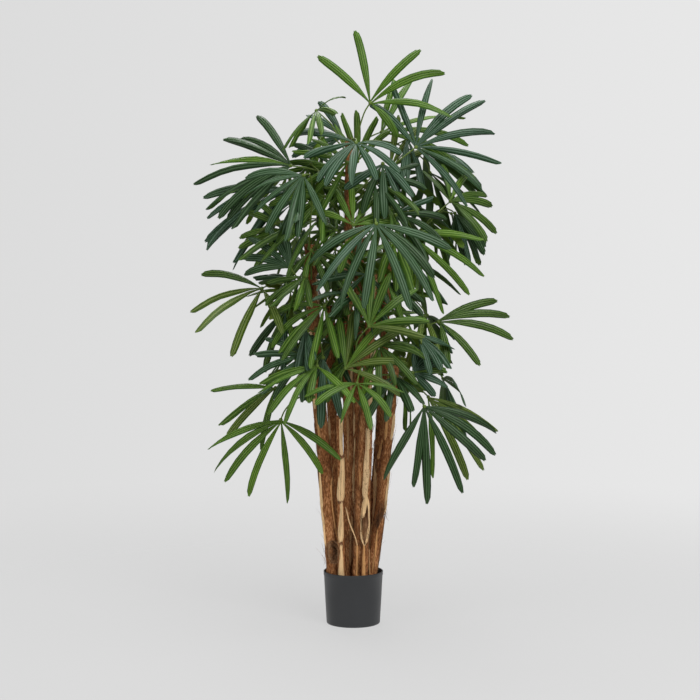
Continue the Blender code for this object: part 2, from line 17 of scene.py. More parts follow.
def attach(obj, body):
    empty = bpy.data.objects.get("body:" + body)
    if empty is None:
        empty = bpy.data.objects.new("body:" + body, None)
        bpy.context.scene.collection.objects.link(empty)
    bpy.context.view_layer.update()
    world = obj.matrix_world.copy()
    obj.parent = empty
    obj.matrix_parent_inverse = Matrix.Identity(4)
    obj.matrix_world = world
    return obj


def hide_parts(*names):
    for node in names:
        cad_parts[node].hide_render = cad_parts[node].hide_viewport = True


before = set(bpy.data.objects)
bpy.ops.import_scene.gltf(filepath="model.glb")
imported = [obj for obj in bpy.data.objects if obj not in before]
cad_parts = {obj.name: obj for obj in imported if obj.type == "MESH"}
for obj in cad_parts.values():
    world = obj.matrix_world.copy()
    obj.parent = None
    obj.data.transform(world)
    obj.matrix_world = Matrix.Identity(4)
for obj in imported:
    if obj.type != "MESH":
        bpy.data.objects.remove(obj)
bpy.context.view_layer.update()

BODY = "root"
UP = Vector((0.0, 0.0, 1.0))
MM = 0.001
WELD = 0.00001

# Pot
POT_HEIGHT = 0.160
RIM_RADIUS = 0.090
FOOT_RADIUS = 0.081
POT_WALL = 0.003
FILL_TOP = 0.136
GAP = 0.0003

# Stems: the foot and the tip as seen from the front (across, depth), the tip's height, and the radii
Stem = namedtuple("Stem", "foot tip top foot_radius tip_radius bow")
STEMS = {
    "left": Stem((-0.060, -0.016), (-0.131, -0.030), 1.150, 0.0205, 0.0160, (-0.003, 0.000)),
    "centre": Stem((-0.012, 0.004), (-0.014, 0.000), 1.455, 0.0172, 0.0110, (-0.003, 0.006)),
    "centre_right": Stem((0.014, -0.031), (0.060, -0.040), 1.060, 0.0178, 0.0145, (-0.003, -0.006)),
    "right": Stem((0.056, -0.010), (0.126, -0.012), 0.790, 0.0160, 0.0130, (0.004, 0.000)),
    "pale_left": Stem((-0.036, -0.052), (-0.044, -0.066), 0.640, 0.0112, 0.0090, (0.002, 0.000)),
    "pale_right": Stem((0.033, -0.060), (0.049, -0.070), 0.610, 0.0105, 0.0090, (0.000, 0.000)),
    "left_back": Stem((-0.043, 0.030), (-0.070, 0.100), 0.960, 0.0160, 0.0125, (-0.006, 0.006)),
    "back": Stem((0.001, 0.056), (0.020, 0.140), 1.230, 0.0165, 0.0120, (0.000, 0.010)),
    "right_back": Stem((0.045, 0.036), (0.105, 0.090), 1.120, 0.0150, 0.0120, (0.010, 0.004)),
    "stub_back": Stem((-0.070, 0.021), (-0.118, 0.045), 0.700, 0.0090, 0.0080, (0.000, 0.000)),
}
STEM_RINGS = 7
STEM_SIDES = 10
FLARE = 1.10
FLARE_HEIGHT = 0.020

# Fronds: the hub's place, then the way the blade faces. Face is the compass bearing that its upper
# side leans to, tilt is 0 for a level blade and 90 for a hanging one, and point turns the middle
# leaflet from straight downhill. The leaflets spread over an angle, and each has this length.
Frond = namedtuple("Frond", "stem hub face tilt point spread leaflets length tone")
FRONT = -90
SHOWN = (
    Frond("centre", (0.050, -0.050, 1.565), FRONT, 80, 137, 182, 6, 0.230, "bright"),
    Frond("centre", (0.185, -0.050, 1.435), FRONT, 75, 130, 175, 9, 0.265, "dark"),
    Frond("centre", (0.085, 0.080, 1.485), FRONT, 60, 110, 130, 6, 0.270, "bright"),
    Frond("centre", (0.008, -0.120, 1.445), -95, 40, -10, 200, 8, 0.225, "dark"),
    Frond("centre", (-0.030, 0.090, 1.470), -120, 70, -105, 80, 5, 0.240, "dark"),
    Frond("centre", (-0.185, -0.050, 1.380), -110, 60, -94, 115, 9, 0.290, "dark"),
    Frond("left", (-0.185, -0.110, 1.080), FRONT, 66, -145, 100, 6, 0.215, "dark"),
    Frond("left", (-0.145, -0.150, 1.350), -100, 60, -35, 120, 7, 0.235, "dark"),
    Frond("left", (-0.195, 0.060, 1.310), -100, 75, -70, 60, 6, 0.300, "dark"),
    Frond("left", (-0.100, -0.060, 1.225), -130, 30, -50, 120, 6, 0.270, "bright"),
    Frond("left", (-0.274, 0.000, 1.016), FRONT, 38, -50, 150, 5, 0.250, "bright"),
    Frond("left", (-0.165, 0.110, 1.034), -170, -8, 0, 120, 5, 0.190, "dark"),
    Frond("left", (-0.205, 0.035, 0.945), FRONT, 82, -12, 58, 4, 0.245, "dark"),
    Frond("left", (-0.140, -0.150, 0.825), -105, 58, -60, 115, 6, 0.215, "dark"),
    Frond("left", (-0.235, 0.010, 0.715), -95, 65, -72, 110, 5, 0.205, "bright"),
    Frond("left", (-0.215, -0.100, 0.630), FRONT, 85, -10, 128, 7, 0.245, "bright"),
    Frond("left", (-0.088, -0.190, 0.822), -95, 80, 9, 18, 2, 0.230, "dark"),
    Frond("centre_right", (0.010, -0.280, 0.755), FRONT, 32, -4, 170, 6, 0.165, "bright"),
    Frond("centre_right", (0.208, -0.150, 0.675), -80, 85, 25, 124, 7, 0.272, "dark"),
    Frond("right", (0.225, -0.020, 0.690), -60, 80, 35, 75, 5, 0.290, "bright"),
    Frond("right", (0.255, 0.000, 0.915), -85, 65, 88, 105, 5, 0.240, "bright"),
    Frond("centre_right", (0.065, -0.250, 1.210), -88, 62, 3, 155, 8, 0.262, "dark"),
    Frond("centre_right", (0.158, -0.050, 1.180), -80, 80, 48, 85, 5, 0.265, "bright"),
    Frond("right_back", (0.290, 0.000, 1.275), -60, 50, 120, 150, 7, 0.210, "dark"),
    Frond("right_back", (0.310, 0.110, 1.240), -70, 85, 25, 70, 6, 0.205, "dark"),
    Frond("centre", (0.235, 0.150, 1.365), 60, 50, 20, 150, 7, 0.240, "dark"),
    Frond("centre", (0.000, -0.110, 1.205), FRONT, 60, 170, 130, 6, 0.160, "bright"),
    Frond("right_back", (0.130, 0.150, 1.270), 40, 40, 0, 150, 7, 0.240, "dark"),
    Frond("centre_right", (-0.023, -0.200, 0.792), FRONT, 75, 138, 110, 6, 0.205, "bright"),
    Frond("centre_right", (0.045, -0.230, 0.915), FRONT, 72, 145, 120, 6, 0.195, "bright"),
    Frond("centre", (-0.085, -0.150, 0.970), -120, 50, -30, 120, 6, 0.205, "bright"),
    Frond("left", (-0.105, -0.220, 0.800), -110, 40, -20, 140, 7, 0.200, "bright"),
    Frond("right", (0.175, -0.090, 0.770), -80, 65, 105, 110, 6, 0.180, "dark"),
    Frond("centre_right", (0.190, -0.080, 0.880), -60, 50, 60, 120, 6, 0.210, "dark"),
)

# The back of the crown, grown by rule: stems in turn, bearings a fixed turn apart
BACK_STEMS = ("back", "left_back", "right_back")
BACK_COUNT = 12
BACK_LOW = 0.730
BACK_HIGH = 1.430
BACK_SWEEP = (10, 170)
BACK_TURN = 61.0
BACK_REACH = (0.150, 0.270)
BACK_TILT = (30, 75)
BACK_SPREAD = 150
BACK_LEAFLETS = 7
BACK_LENGTH = 0.245
BACK_TILT_RANGE = 8
BACK_POINT_RANGE = 25

# Petioles
PETIOLE_RADIUS = 0.0028
PETIOLE_TIP = 0.0021
PETIOLE_POINTS = 6
LOWEST_PETIOLE = 0.420
BELOW_TIP = 0.014
ROOT_GAP = 0.00045
ROOT_LIFT = 0.004
RISE_LEVEL = 0.25
RISE_STEEP = 0.70
LEAVE_OUT = 0.8
LEAVE_UP = 0.6
HANDLE = 0.30
ROUTE_STEP = 0.022
ROUTE_STEPS = 6
ROUTE_TURNS = (0, 25, -25, 50, -50)
ROUTE_SWINGS = (0.0, 0.12, -0.12)
TEST_SIDES = 6

# Leaflets
HUB_RADIUS = 0.015
HUB_HALF = 0.0036
HUB_SIDES = 8
LEAF_ROOT = 0.010
LEAF_WIDTH = 0.026
LEAF_THICKNESS = 0.0032
LEAF_STATIONS = (0.0, 0.34, 0.84, 1.0)
LOOK_AHEAD = 0.01
WIDTH_AT = ((0.0, 0.20), (0.10, 0.34), (0.30, 0.70), (0.62, 1.0), (0.86, 0.88), (1.0, 0.40))
MIDRIB_SHARE = 0.6
SIDE_SHORTER = 0.12
SLOWING = 0.12
DROOP = 0.30
DROOP_RANGE = (0.6, 1.5)
ARCH = 0.04
ANGLE_RANGE = 3.5
LENGTH_RANGE = (0.93, 1.04)
ROLL_RANGE = 28
LIFT_RANGE = 0.08
SPARE = 0.0012
LEAF_TRIES = (
    (0, 1.0, 1.0), (5, 1.0, 1.0), (-5, 1.0, 1.0), (0, 0.5, 1.0), (0, 1.6, 1.0),
    (9, 0.7, 1.0), (-9, 0.7, 1.0), (4, 0.3, 0.9), (-4, 1.8, 0.9), (0, 1.0, 0.82),
    (8, 1.4, 0.8), (-8, 0.4, 0.8), (0, 0.5, 0.68), (0, 1.6, 0.6),
)
SEED = 7

# Side fans: smaller blades on a short branch of a long petiole
SIDE_FROM = 0.150
SIDE_AT = 0.55
SIDE_BRANCH = 0.045
SIDE_LENGTH = 0.155
SIDE_SPREAD = 105
SIDE_LEAFLETS = 5
SIDE_LEAST = 3
SIDE_COUNT = 12
SIDE_WAY = (0.4, 0.8, 0.45)
SIDE_TILT = (35, 75)


# Helpers
def lerp(a, b, t):
    return a + (b - a) * t


def smooth(t):
    return t * t * (3.0 - 2.0 * t)


def wave(size, speed, t, phase):
    """A sine wave's value at t."""
    return size * math.sin(speed * t + phase)


def read_curve(pairs, t):
    """The value at t of a curve given by (t, value) pairs, eased from each pair to the next."""
    for (low, first), (high, second) in zip(pairs, pairs[1:]):
        if t <= high:
            return lerp(first, second, smooth((t - low) / (high - low)))
    return pairs[-1][1]


def spoke(angle):
    """The level unit vector at this angle, in radians, from +X."""
    return Vector((math.cos(angle), math.sin(angle), 0.0))


def bearing(degrees):
    return spoke(math.radians(degrees))


def level_way(start, end):
    """The way from start to end, without its rise."""
    return Vector((end.x - start.x, end.y - start.y, 0.0))


def put(name, data):
    """A new object of this data in the scene."""
    obj = bpy.data.objects.new(name, data)
    bpy.context.scene.collection.objects.link(obj)
    return obj


# The growth plan, as in the source
def stem_axis(stem, height):
    """The stem's centre at this height: a slanted line that bows sideways between foot and tip."""
    foot = FILL_TOP + GAP
    t = (height - foot - FLARE_HEIGHT) / (stem.top - foot - FLARE_HEIGHT)
    t = min(max(t, 0.0), 1.0)
    swell = math.sin(math.pi * t)
    across = lerp(stem.foot[0], stem.tip[0], t) + stem.bow[0] * swell
    depth = lerp(stem.foot[1], stem.tip[1], t) + stem.bow[1] * swell
    return Vector((across, depth, height))


def stem_radius(stem, height):
    foot = FILL_TOP + GAP
    t = (height - foot) / (stem.top - foot)
    flare = lerp(FLARE, 1.0, min((height - foot) / FLARE_HEIGHT, 1.0))
    return lerp(stem.foot_radius, stem.tip_radius, t) * flare


def stem_heights(stem):
    """Where the source sets the stem's rings."""
    foot = FILL_TOP + GAP
    rest = foot + FLARE_HEIGHT
    return [foot] + [lerp(rest, stem.top, i / (STEM_RINGS - 1)) for i in range(STEM_RINGS)]


def stem_tree(stem):
    """The stem as the source's ten-sided tube, for the tests of what is clear of what."""
    curve = bpy.data.curves.new("stem_route", "CURVE")
    curve.dimensions = "3D"
    curve.bevel_depth = 1.0
    curve.bevel_resolution = STEM_SIDES // 2 - 2
    curve.use_fill_caps = True
    heights = stem_heights(stem)
    spline = curve.splines.new("POLY")
    spline.points.add(len(heights) - 1)
    for point, height in zip(spline.points, heights):
        point.co = (*stem_axis(stem, height), 1.0)
        point.radius = stem_radius(stem, height)
    guide = put("stem_route", curve)
    graph = bpy.context.evaluated_depsgraph_get()
    mesh = bpy.data.meshes.new_from_object(guide.evaluated_get(graph))
    welded = bmesh.new()
    welded.from_mesh(mesh)
    bmesh.ops.remove_doubles(welded, verts=welded.verts, dist=WELD)
    bmesh.ops.recalc_face_normals(welded, faces=welded.faces)
    points = [vert.co.copy() for vert in welded.verts]
    faces = [tuple(vert.index for vert in face.verts) for face in welded.faces]
    welded.free()
    bpy.data.objects.remove(guide)
    bpy.data.curves.remove(curve)
    bpy.data.meshes.remove(mesh)
    return points, faces


def blade_frame(frond):
    """The blade's middle direction, its sideways direction and its upper side's normal."""
    tilt = math.radians(frond.tilt)
    point = math.radians(frond.point)
    out = bearing(frond.face)
    normal = out * math.sin(tilt) + UP * math.cos(tilt)
    downhill = out * math.cos(tilt) - UP * math.sin(tilt)
    across = normal.cross(downhill)
    middle = downhill * math.cos(point) + across * math.sin(point)
    return middle, normal.cross(middle), normal


def leaflet_spine(hub, way, normal, length, droop, t):
    """A leaflet's midrib at t: it leaves the hub arched over the blade, and sinks towards its tip."""
    sag = way * way.z - UP
    along = way * (t - SLOWING * droop * t ** 3)
    return hub + (along + normal * (ARCH * math.sin(math.pi * t)) + sag * (0.5 * droop * t * t)) * length


def leaflet_rings(leaf, stations, spare):
    """Three-cornered sections of a leaflet, two edges and a raised midrib, enlarged by spare."""
    hub, way, normal, length, droop, roll = leaf
    rings = []
    for t in stations:
        here = leaflet_spine(hub, way, normal, length, droop, t)
        ahead = leaflet_spine(hub, way, normal, length, droop, t + LOOK_AHEAD) - here
        ahead.normalize()
        side = ahead.cross(normal).normalized()
        side.rotate(Quaternion(ahead, roll * t))
        top = side.cross(ahead).normalized()
        half = LEAF_WIDTH / 2 * read_curve(WIDTH_AT, t) + spare
        low = here - top * (LEAF_THICKNESS * (1.0 - MIDRIB_SHARE) + spare)
        high = here + top * (LEAF_THICKNESS * MIDRIB_SHARE + spare)
        rings.append([low + side * half, low - side * half, high])
    return rings


def loft(rings):
    """Points and faces of a closed body through rings of like corners."""
    corners = len(rings[0])
    points = [corner for ring in rings for corner in ring]
    faces = [tuple(reversed(range(corners)))]
    for i in range(len(rings) - 1):
        for j in range(corners):
            a = i * corners + j
            b = i * corners + (j + 1) % corners
            faces.append((a, b, b + corners, a + corners))
    last = (len(rings) - 1) * corners
    faces.append(tuple(range(last, last + corners)))
    return points, faces


def ring_of(centre, turn, radius, sides, level=0.0):
    """Corners round the turned Z axis, at this level along it."""
    ring = []
    for j in range(sides):
        corner = spoke(math.tau * j / sides) * radius
        ring.append(centre + turn @ (corner + UP * level))
    return ring


def tube_rings(points, radii, sides, spare=0.0):
    rings = []
    for i, (point, radius) in enumerate(zip(points, radii)):
        ahead = points[min(i + 1, len(points) - 1)] - points[max(i - 1, 0)]
        rings.append(ring_of(point, ahead.to_track_quat("Z", "Y"), radius + spare, sides))
    return rings


def box_of(points):
    """The points' lowest and highest corner."""
    return [Vector([pick(point[k] for point in points) for k in range(3)]) for pick in (min, max)]


class Space:
    """The bodies placed so far, which a new one must stay clear of."""

    def __init__(self, taken=()):
        self.taken = list(taken)

    def add(self, owner, points, faces):
        self.taken.append((owner, *box_of(points), BVHTree.FromPolygons(points, faces)))

    def free(self, owners, points, faces):
        low, high = box_of(points)
        tree = BVHTree.FromPolygons(points, faces)
        for other, other_low, other_high, other_tree in self.taken:
            if other in owners:
                continue
            if any(low[k] > other_high[k] or high[k] < other_low[k] for k in range(3)):
                continue
            if tree.overlap(other_tree):
                return False
        return True


def back_fronds():
    """The fronds behind, one after another round the far side from low to high."""
    rng = random.Random(SEED)
    fronds = []
    first, last = BACK_SWEEP
    for i in range(BACK_COUNT):
        name = BACK_STEMS[i % len(BACK_STEMS)]
        rise = i / (BACK_COUNT - 1)
        way = first + (BACK_TURN * i) % (last - first)
        height = lerp(BACK_LOW, BACK_HIGH, rise)
        reach = lerp(BACK_REACH[1], BACK_REACH[0], rise * rise)
        hub = stem_axis(STEMS[name], min(height, STEMS[name].top)) + bearing(way) * reach
        hub.z = height
        tilt = lerp(BACK_TILT[1], BACK_TILT[0], rise) + rng.uniform(-BACK_TILT_RANGE, BACK_TILT_RANGE)
        point = rng.uniform(-BACK_POINT_RANGE, BACK_POINT_RANGE)
        tone = "bright" if i % 3 == 1 else "dark"
        fronds.append(Frond(name, hub, way, tilt, point, BACK_SPREAD, BACK_LEAFLETS, BACK_LENGTH, tone))
    return fronds


def petiole_route(frond, root, normal, middle, swing):
    """The petiole's centre line: square off the stem, out and up, then in line with the blade."""
    hub = Vector(frond.hub)
    span = (hub - root).length
    start = root + normal * ROOT_LIFT
    leave = start + (normal * LEAVE_OUT + UP * LEAVE_UP).normalized() * span * HANDLE
    side = normal.cross(UP).normalized() * swing * span
    arrive = hub - middle * span * HANDLE
    points = [root]
    for i in range(PETIOLE_POINTS):
        t = i / (PETIOLE_POINTS - 1)
        a = start.lerp(leave + side, t)
        b = (leave + side).lerp(arrive + side, t)
        c = (arrive + side).lerp(hub, t)
        points.append(a.lerp(b, t).lerp(b.lerp(c, t), t))
    return points


def hub_rings(hub, normal, spare):
    """The small plate that the leaflets grow from, as two rings."""
    turn = normal.to_track_quat("Z", "Y")
    levels = (-HUB_HALF - spare, HUB_HALF + spare)
    return [ring_of(hub, turn, HUB_RADIUS + spare, HUB_SIDES, level) for level in levels]


def petiole_radii(points):
    return [lerp(PETIOLE_RADIUS, PETIOLE_TIP, i / (len(points) - 1)) for i in range(len(points))]


def short_stalk(root, hub):
    """A straight stalk's body, for the tests."""
    return loft(tube_rings([root, hub], [PETIOLE_TIP, PETIOLE_TIP], TEST_SIDES, SPARE))


def route_lifts():
    """How far a petiole's root may move up or down the stem to come clear, the least first."""
    return sorted((ROUTE_STEP * i for i in range(-ROUTE_STEPS, ROUTE_STEPS + 1)), key=abs)


def plan_petiole(owner, frond, tree, space):
    """The first route from the stem to the hub that is clear of all that is placed, or None."""
    stem = STEMS[frond.stem]
    middle, _, upper = blade_frame(frond)
    hub = Vector(frond.hub)
    plate = loft(hub_rings(hub, upper, SPARE))
    if not space.free({owner}, *plate):
        return None
    axis = stem_axis(stem, min(hub.z, stem.top))
    reach = level_way(axis, hub).length
    wanted = hub.z - reach * (RISE_LEVEL + RISE_STEEP * middle.z)
    for lift in route_lifts():
        height = min(max(wanted + lift, LOWEST_PETIOLE), stem.top - BELOW_TIP - abs(lift))
        axis = stem_axis(stem, height)
        out = level_way(axis, hub).normalized()
        for turn in ROUTE_TURNS:
            side = out.copy()
            side.rotate(Quaternion(UP, math.radians(turn)))
            place, normal, _, _ = tree.ray_cast(axis + side * RIM_RADIUS, -side)
            if place is None:
                continue
            for swing in ROUTE_SWINGS:
                route = petiole_route(frond, place + normal * ROOT_GAP, normal, middle, swing)
                points, faces = loft(tube_rings(route[1:], petiole_radii(route)[1:], TEST_SIDES, SPARE))
                if space.free({owner}, points, faces):
                    space.add(owner, points, faces)
                    space.add(owner, *plate)
                    return route
    return None


def plan_leaflets(owners, frond, rng, space):
    """The frond's leaflets, each turned, sunk or shortened as little as keeps it clear, or skipped.

    The first of the owners takes them. They may touch what belongs to any of the owners.
    """
    middle, across, normal = blade_frame(frond)
    hub = Vector(frond.hub)
    leaves = []
    for i in range(frond.leaflets):
        share = i / (frond.leaflets - 1) * 2.0 - 1.0
        angle = share * frond.spread / 2 + rng.uniform(-ANGLE_RANGE, ANGLE_RANGE)
        length = frond.length * (1.0 - SIDE_SHORTER * share * share) * rng.uniform(*LENGTH_RANGE)
        droop = DROOP * rng.uniform(*DROOP_RANGE)
        roll = math.radians(rng.uniform(-ROLL_RANGE, ROLL_RANGE))
        lift = rng.uniform(-LIFT_RANGE, LIFT_RANGE)
        for turn, sink, shorten in LEAF_TRIES:
            leaf_angle = math.radians(angle + turn)
            way = middle * math.cos(leaf_angle) + across * math.sin(leaf_angle) + normal * lift
            way.normalize()
            leaf = (hub + way * LEAF_ROOT, way, normal, length * shorten, droop * sink, roll)
            points, faces = loft(leaflet_rings(leaf, LEAF_STATIONS, SPARE))
            if space.free(owners, points, faces):
                space.add(owners[0], points, faces)
                leaves.append(leaf)
                break
    return leaves


def claim_fan(owners, frond, least, bodies, rng, space):
    """The fan's leaflets, if its bodies and this many leaflets at least find room, or None."""
    if not all(space.free({owners[-1]}, *body) for body in bodies):
        return None
    trial = Space(space.taken)
    leaves = plan_leaflets(owners, frond, rng, trial)
    if len(leaves) < least:
        return None
    space.taken = trial.taken
    for body in bodies:
        space.add(owners[-1], *body)
    return leaves


def plan_side_fan(name, frond, route, turn, rng, space):
    """A smaller blade on a short branch of the frond's petiole: (hub, normal, root, leaflets), or None."""
    at = SIDE_AT * (len(route) - 1)
    before = int(at)
    root = route[before].lerp(route[before + 1], at - before)
    ahead = (route[before + 1] - route[before]).normalized()
    side = ahead.cross(UP).normalized() * turn
    way = (ahead * SIDE_WAY[0] + side * SIDE_WAY[1] + UP * SIDE_WAY[2]).normalized()
    hub = root + way * SIDE_BRANCH
    heading = math.degrees(math.atan2(way.y, way.x))
    tilt = rng.uniform(*SIDE_TILT)
    fan = Frond(frond.stem, hub, heading, tilt, 0, SIDE_SPREAD, SIDE_LEAFLETS, SIDE_LENGTH, frond.tone)
    normal = blade_frame(fan)[2]
    bodies = (loft(hub_rings(hub, normal, SPARE)), short_stalk(root, hub))
    leaves = claim_fan((name + "_side", name), fan, SIDE_LEAST, bodies, rng, space)
    return (hub, normal, root, leaves) if leaves else None


def frond_rng(number, kind):
    """A frond's own chances, so that a change to one frond leaves the others as they were."""
    return random.Random(SEED * 1000 + number * 10 + kind)


def plan_crown(stem_trees, space):
    """Every frond's petiole first, so that none is crowded out, then the leaflets, then the side fans."""
    fronds = []
    for number, frond in enumerate([*SHOWN, *back_fronds()], 1):
        name = f"frond_{number:02d}"
        route = plan_petiole(name, frond, stem_trees[frond.stem], space)
        if route:
            fronds.append((number, name, frond, route))
    blades = []
    for number, name, frond, _ in fronds:
        blades.append(plan_leaflets((name + "_fan", name), frond, frond_rng(number, 1), space))
    crown = []
    sides = 0
    for (number, name, frond, route), leaves in zip(fronds, blades):
        fan = None
        long_enough = (route[-1] - route[0]).length > SIDE_FROM
        for turn in (1, -1):
            if long_enough and not fan and sides < SIDE_COUNT:
                fan = plan_side_fan(name, frond, route, turn, frond_rng(number, 2), space)
        sides += bool(fan)
        crown.append((name, frond, route, leaves, fan))
    return crown


def grow():
    """The crown as the source grows it, (name, frond, route, leaves, side fan), and what it leaves free."""
    space, woods = Space(), Space()
    trees = {}
    for name, stem in STEMS.items():
        points, faces = stem_tree(stem)
        trees[name] = BVHTree.FromPolygons(points, faces)
        space.add(name, points, faces)
        woods.add(name, points, faces)
    return plan_crown(trees, space), space, woods


# Inner fans, on short petioles close to the stems, which fill the crown between the large fronds
INNER_LEAST_TOP = 0.90
INNER_LOW = 0.730
INNER_PITCH = 0.070
INNER_TURN = 137.5
INNER_TRIES = 7
INNER_STEP = 31.0
INNER_REACH = (0.045, 0.125)
INNER_RISE = 0.55
INNER_SPREAD = 135
INNER_LEAFLETS = 6
INNER_LENGTH = (0.135, 0.200)
INNER_TILT = (25, 88)
INNER_HEADING = 35
INNER_POINT = 75
INNER_LEAST = 3
INNER_SEED = 41
INNER_BREADTH = 0.84
INNER_SHARE = 0.95
INNER_FOLDED = 0.50
INNER_TONES = {"dark": ("moss", "pine", "grass", "deep"), "bright": ("moss", "grass", "olive")}

# Young fans round the top of the tallest stem, clear of the stems alone
YOUNG = (
    Frond("centre", (0.012, 0.030, 1.395), FRONT, 82, 178, 80, 5, 0.170, "bright"),
    Frond("centre", (0.110, 0.020, 1.375), FRONT, 78, 165, 80, 4, 0.170, "bright"),
    Frond("centre", (-0.055, 0.010, 1.375), FRONT, 70, -112, 90, 5, 0.170, "dark"),
    Frond("centre", (0.062, -0.070, 1.335), FRONT, 62, 62, 110, 5, 0.175, "dark"),
    Frond("centre", (0.125, -0.060, 1.235), FRONT, 66, 72, 110, 5, 0.170, "dark"),
    Frond("centre", (0.190, -0.060, 1.250), FRONT, 62, 60, 100, 5, 0.175, "bright"),
    Frond("centre", (-0.085, -0.060, 1.290), FRONT, 66, -62, 100, 5, 0.170, "dark"),
    Frond("centre", (0.150, 0.090, 1.350), 80, 60, 20, 150, 6, 0.190, "dark"),
    Frond("centre", (-0.090, 0.110, 1.360), 110, 60, -20, 150, 6, 0.190, "bright"),
    Frond("left", (-0.200, 0.000, 1.190), FRONT, 70, -95, 90, 5, 0.165, "dark"),
    Frond("left", (-0.125, -0.070, 1.130), FRONT, 60, 20, 120, 5, 0.165, "bright"),
)
YOUNG_DROP = 0.085


def plan_inner_fan(owner, name, height, heading, rng, space):
    """A small fan beside the stem at this height: (frond, root, leaflets), or None where it won't fit."""
    stem = STEMS[name]
    way = bearing(heading)
    level = min(height, stem.top - BELOW_TIP)
    root = stem_axis(stem, level) + way * (stem_radius(stem, level) + SPARE + PETIOLE_TIP)
    reach = rng.uniform(*INNER_REACH)
    hub = root + way * reach + UP * (reach * INNER_RISE + height - level)
    tone = "bright" if rng.random() < 0.5 else "dark"
    face = heading + rng.uniform(-INNER_HEADING, INNER_HEADING)
    tilt = rng.uniform(*INNER_TILT)
    point = rng.uniform(-INNER_POINT, INNER_POINT)
    length = rng.uniform(*INNER_LENGTH)
    frond = Frond(name, hub, face, tilt, point, INNER_SPREAD, INNER_LEAFLETS, length, tone)
    leaves = claim_fan((owner,), frond, INNER_LEAST, (short_stalk(root, hub),), rng, space)
    return (frond, root, leaves) if leaves else None


def plan_young_fan(owner, frond, rng, woods):
    """A young fan as (frond, root, leaflets)."""
    stem = STEMS[frond.stem]
    hub = Vector(frond.hub)
    level = min(hub.z - YOUNG_DROP, stem.top - BELOW_TIP)
    axis = stem_axis(stem, level)
    way = level_way(axis, hub).normalized()
    root = axis + way * (stem_radius(stem, level) + SPARE + PETIOLE_TIP)
    return frond, root, plan_leaflets((owner,), frond, rng, woods)


def grow_inner(space, woods):
    """The young fans, then the inner fans up each tall stem, as (frond, root, leaflets)."""
    rng = random.Random(INNER_SEED)
    fans = [plan_young_fan(f"young_{i}", frond, rng, woods) for i, frond in enumerate(YOUNG)]
    for name, stem in STEMS.items():
        if stem.top < INNER_LEAST_TOP:
            continue
        height = INNER_LOW
        heading = rng.uniform(0, 360)
        while height < stem.top + INNER_PITCH:
            heading += INNER_TURN
            owner = f"inner_{len(fans)}"
            for i in range(INNER_TRIES):
                fan = plan_inner_fan(owner, name, height, heading + INNER_STEP * i, rng, space)
                if fan:
                    fans.append(fan)
                    break
            height += INNER_PITCH
    return fans


# Looks: surfaces as (roughness, gloss), noises as (detail, roughness), bumps as (strength, distance)
BLADE_MAP = "blade"
RAMP = (0.3, 0.7)
WHITE = (1.0, 1.0, 1.0)
LEAF_GLOSS = 0.27
LEAF_MOTTLE = 22.0
LEAF_MOTTLING = 0.14
LEAF_DETAIL = 3.0
LEAF_ROUGHER = (-0.05, 0.07)
VEIN_SCALE = 6.0
VEIN_WANDER = 0.2
VEIN_BUMP = (0.25, 0.0004)
FIBRE_SURFACE = (0.9, 0.15)
FIBRE_NOISE = (5.0, 0.62)
FIBRE_STRENGTH = 0.9
FIBRE_PATCH = 26.0
FIBRE_PATCH_STRETCH = 0.35
FIBRE_PATCH_SHARE = 0.45
FIBRE_STOPS = (0.54, 0.92)
STRAW_SURFACE = (0.62, 0.3)
STRAW_SCALE = 300.0
STRAW_STRETCH = 0.05
STRAW_NOISE = (4.0, 0.6)
STRAW_STOPS = ((0.30, 0.50), (0.47, 1.0), (0.68, 1.28))
STRAW_BUMP = (0.5, 0.0006)
SPECK_SCALE = 380.0
SPECK_STRETCH = 0.5
SPECK_NOISE = (2.0, 0.5)
SPECK_EDGE = 0.08
SPECK_COLOUR = (0.42, 0.30, 0.22)
POT_SURFACE = (0.42, 0.5)
POT_COLOUR = (0.025, 0.0267, 0.0290)
POT_MOTTLING = 0.08
POT_ROUGHNESS = (0.38, 0.48)
POT_GRAIN = 1400.0
POT_CLOUD = 9.0
POT_BUMP = (0.15, 0.0002)
FILL_SURFACE = (0.95, 0.1)
FILL_LUMPS = 220.0
FILL_NOISE = (4.0, 0.7)
FILL_STOPS = ((0.35, (0.008, 0.006, 0.005)), (0.65, (0.045, 0.030, 0.020)))
FILL_BUMP = (0.8, 0.002)


# Materials
def new_material(name, roughness, gloss):
    made = bpy.data.materials.new(name)
    made.use_nodes = True
    shader = made.node_tree.nodes["Principled BSDF"]
    shader.inputs["Roughness"].default_value = roughness
    shader.inputs["Specular IOR Level"].default_value = gloss
    return made, made.node_tree, shader


def node_of(tree, kind, source, socket, values):
    """A shader node that the source feeds at this socket, with values on its other inputs."""
    node = tree.nodes.new("ShaderNode" + kind)
    tree.links.new(source, node.inputs[socket])
    for name, value in values.items():
        node.inputs[name].default_value = value
    return node


def coordinates(tree, stretch=1.0):
    """Object coordinates, with heights scaled by stretch."""
    source = tree.nodes.new("ShaderNodeTexCoord").outputs["Object"]
    return node_of(tree, "Mapping", source, "Vector", {"Scale": (1.0, 1.0, stretch)}).outputs["Vector"]


def noise_of(tree, vector, scale, detail=2.0, rough=0.55):
    values = {"Scale": scale, "Detail": detail, "Roughness": rough}
    return node_of(tree, "TexNoise", vector, "Vector", values).outputs["Fac"]


def ramp_of(tree, value, stops):
    """A colour ramp of (position, colour) stops."""
    ramp = node_of(tree, "ValToRGB", value, "Fac", {})
    elements = ramp.color_ramp.elements
    while len(elements) < len(stops):
        elements.new(0.5)
    for element, (place, colour) in zip(elements, stops):
        element.position = place
        element.color = (*colour, 1.0)
    return ramp.outputs["Color"]


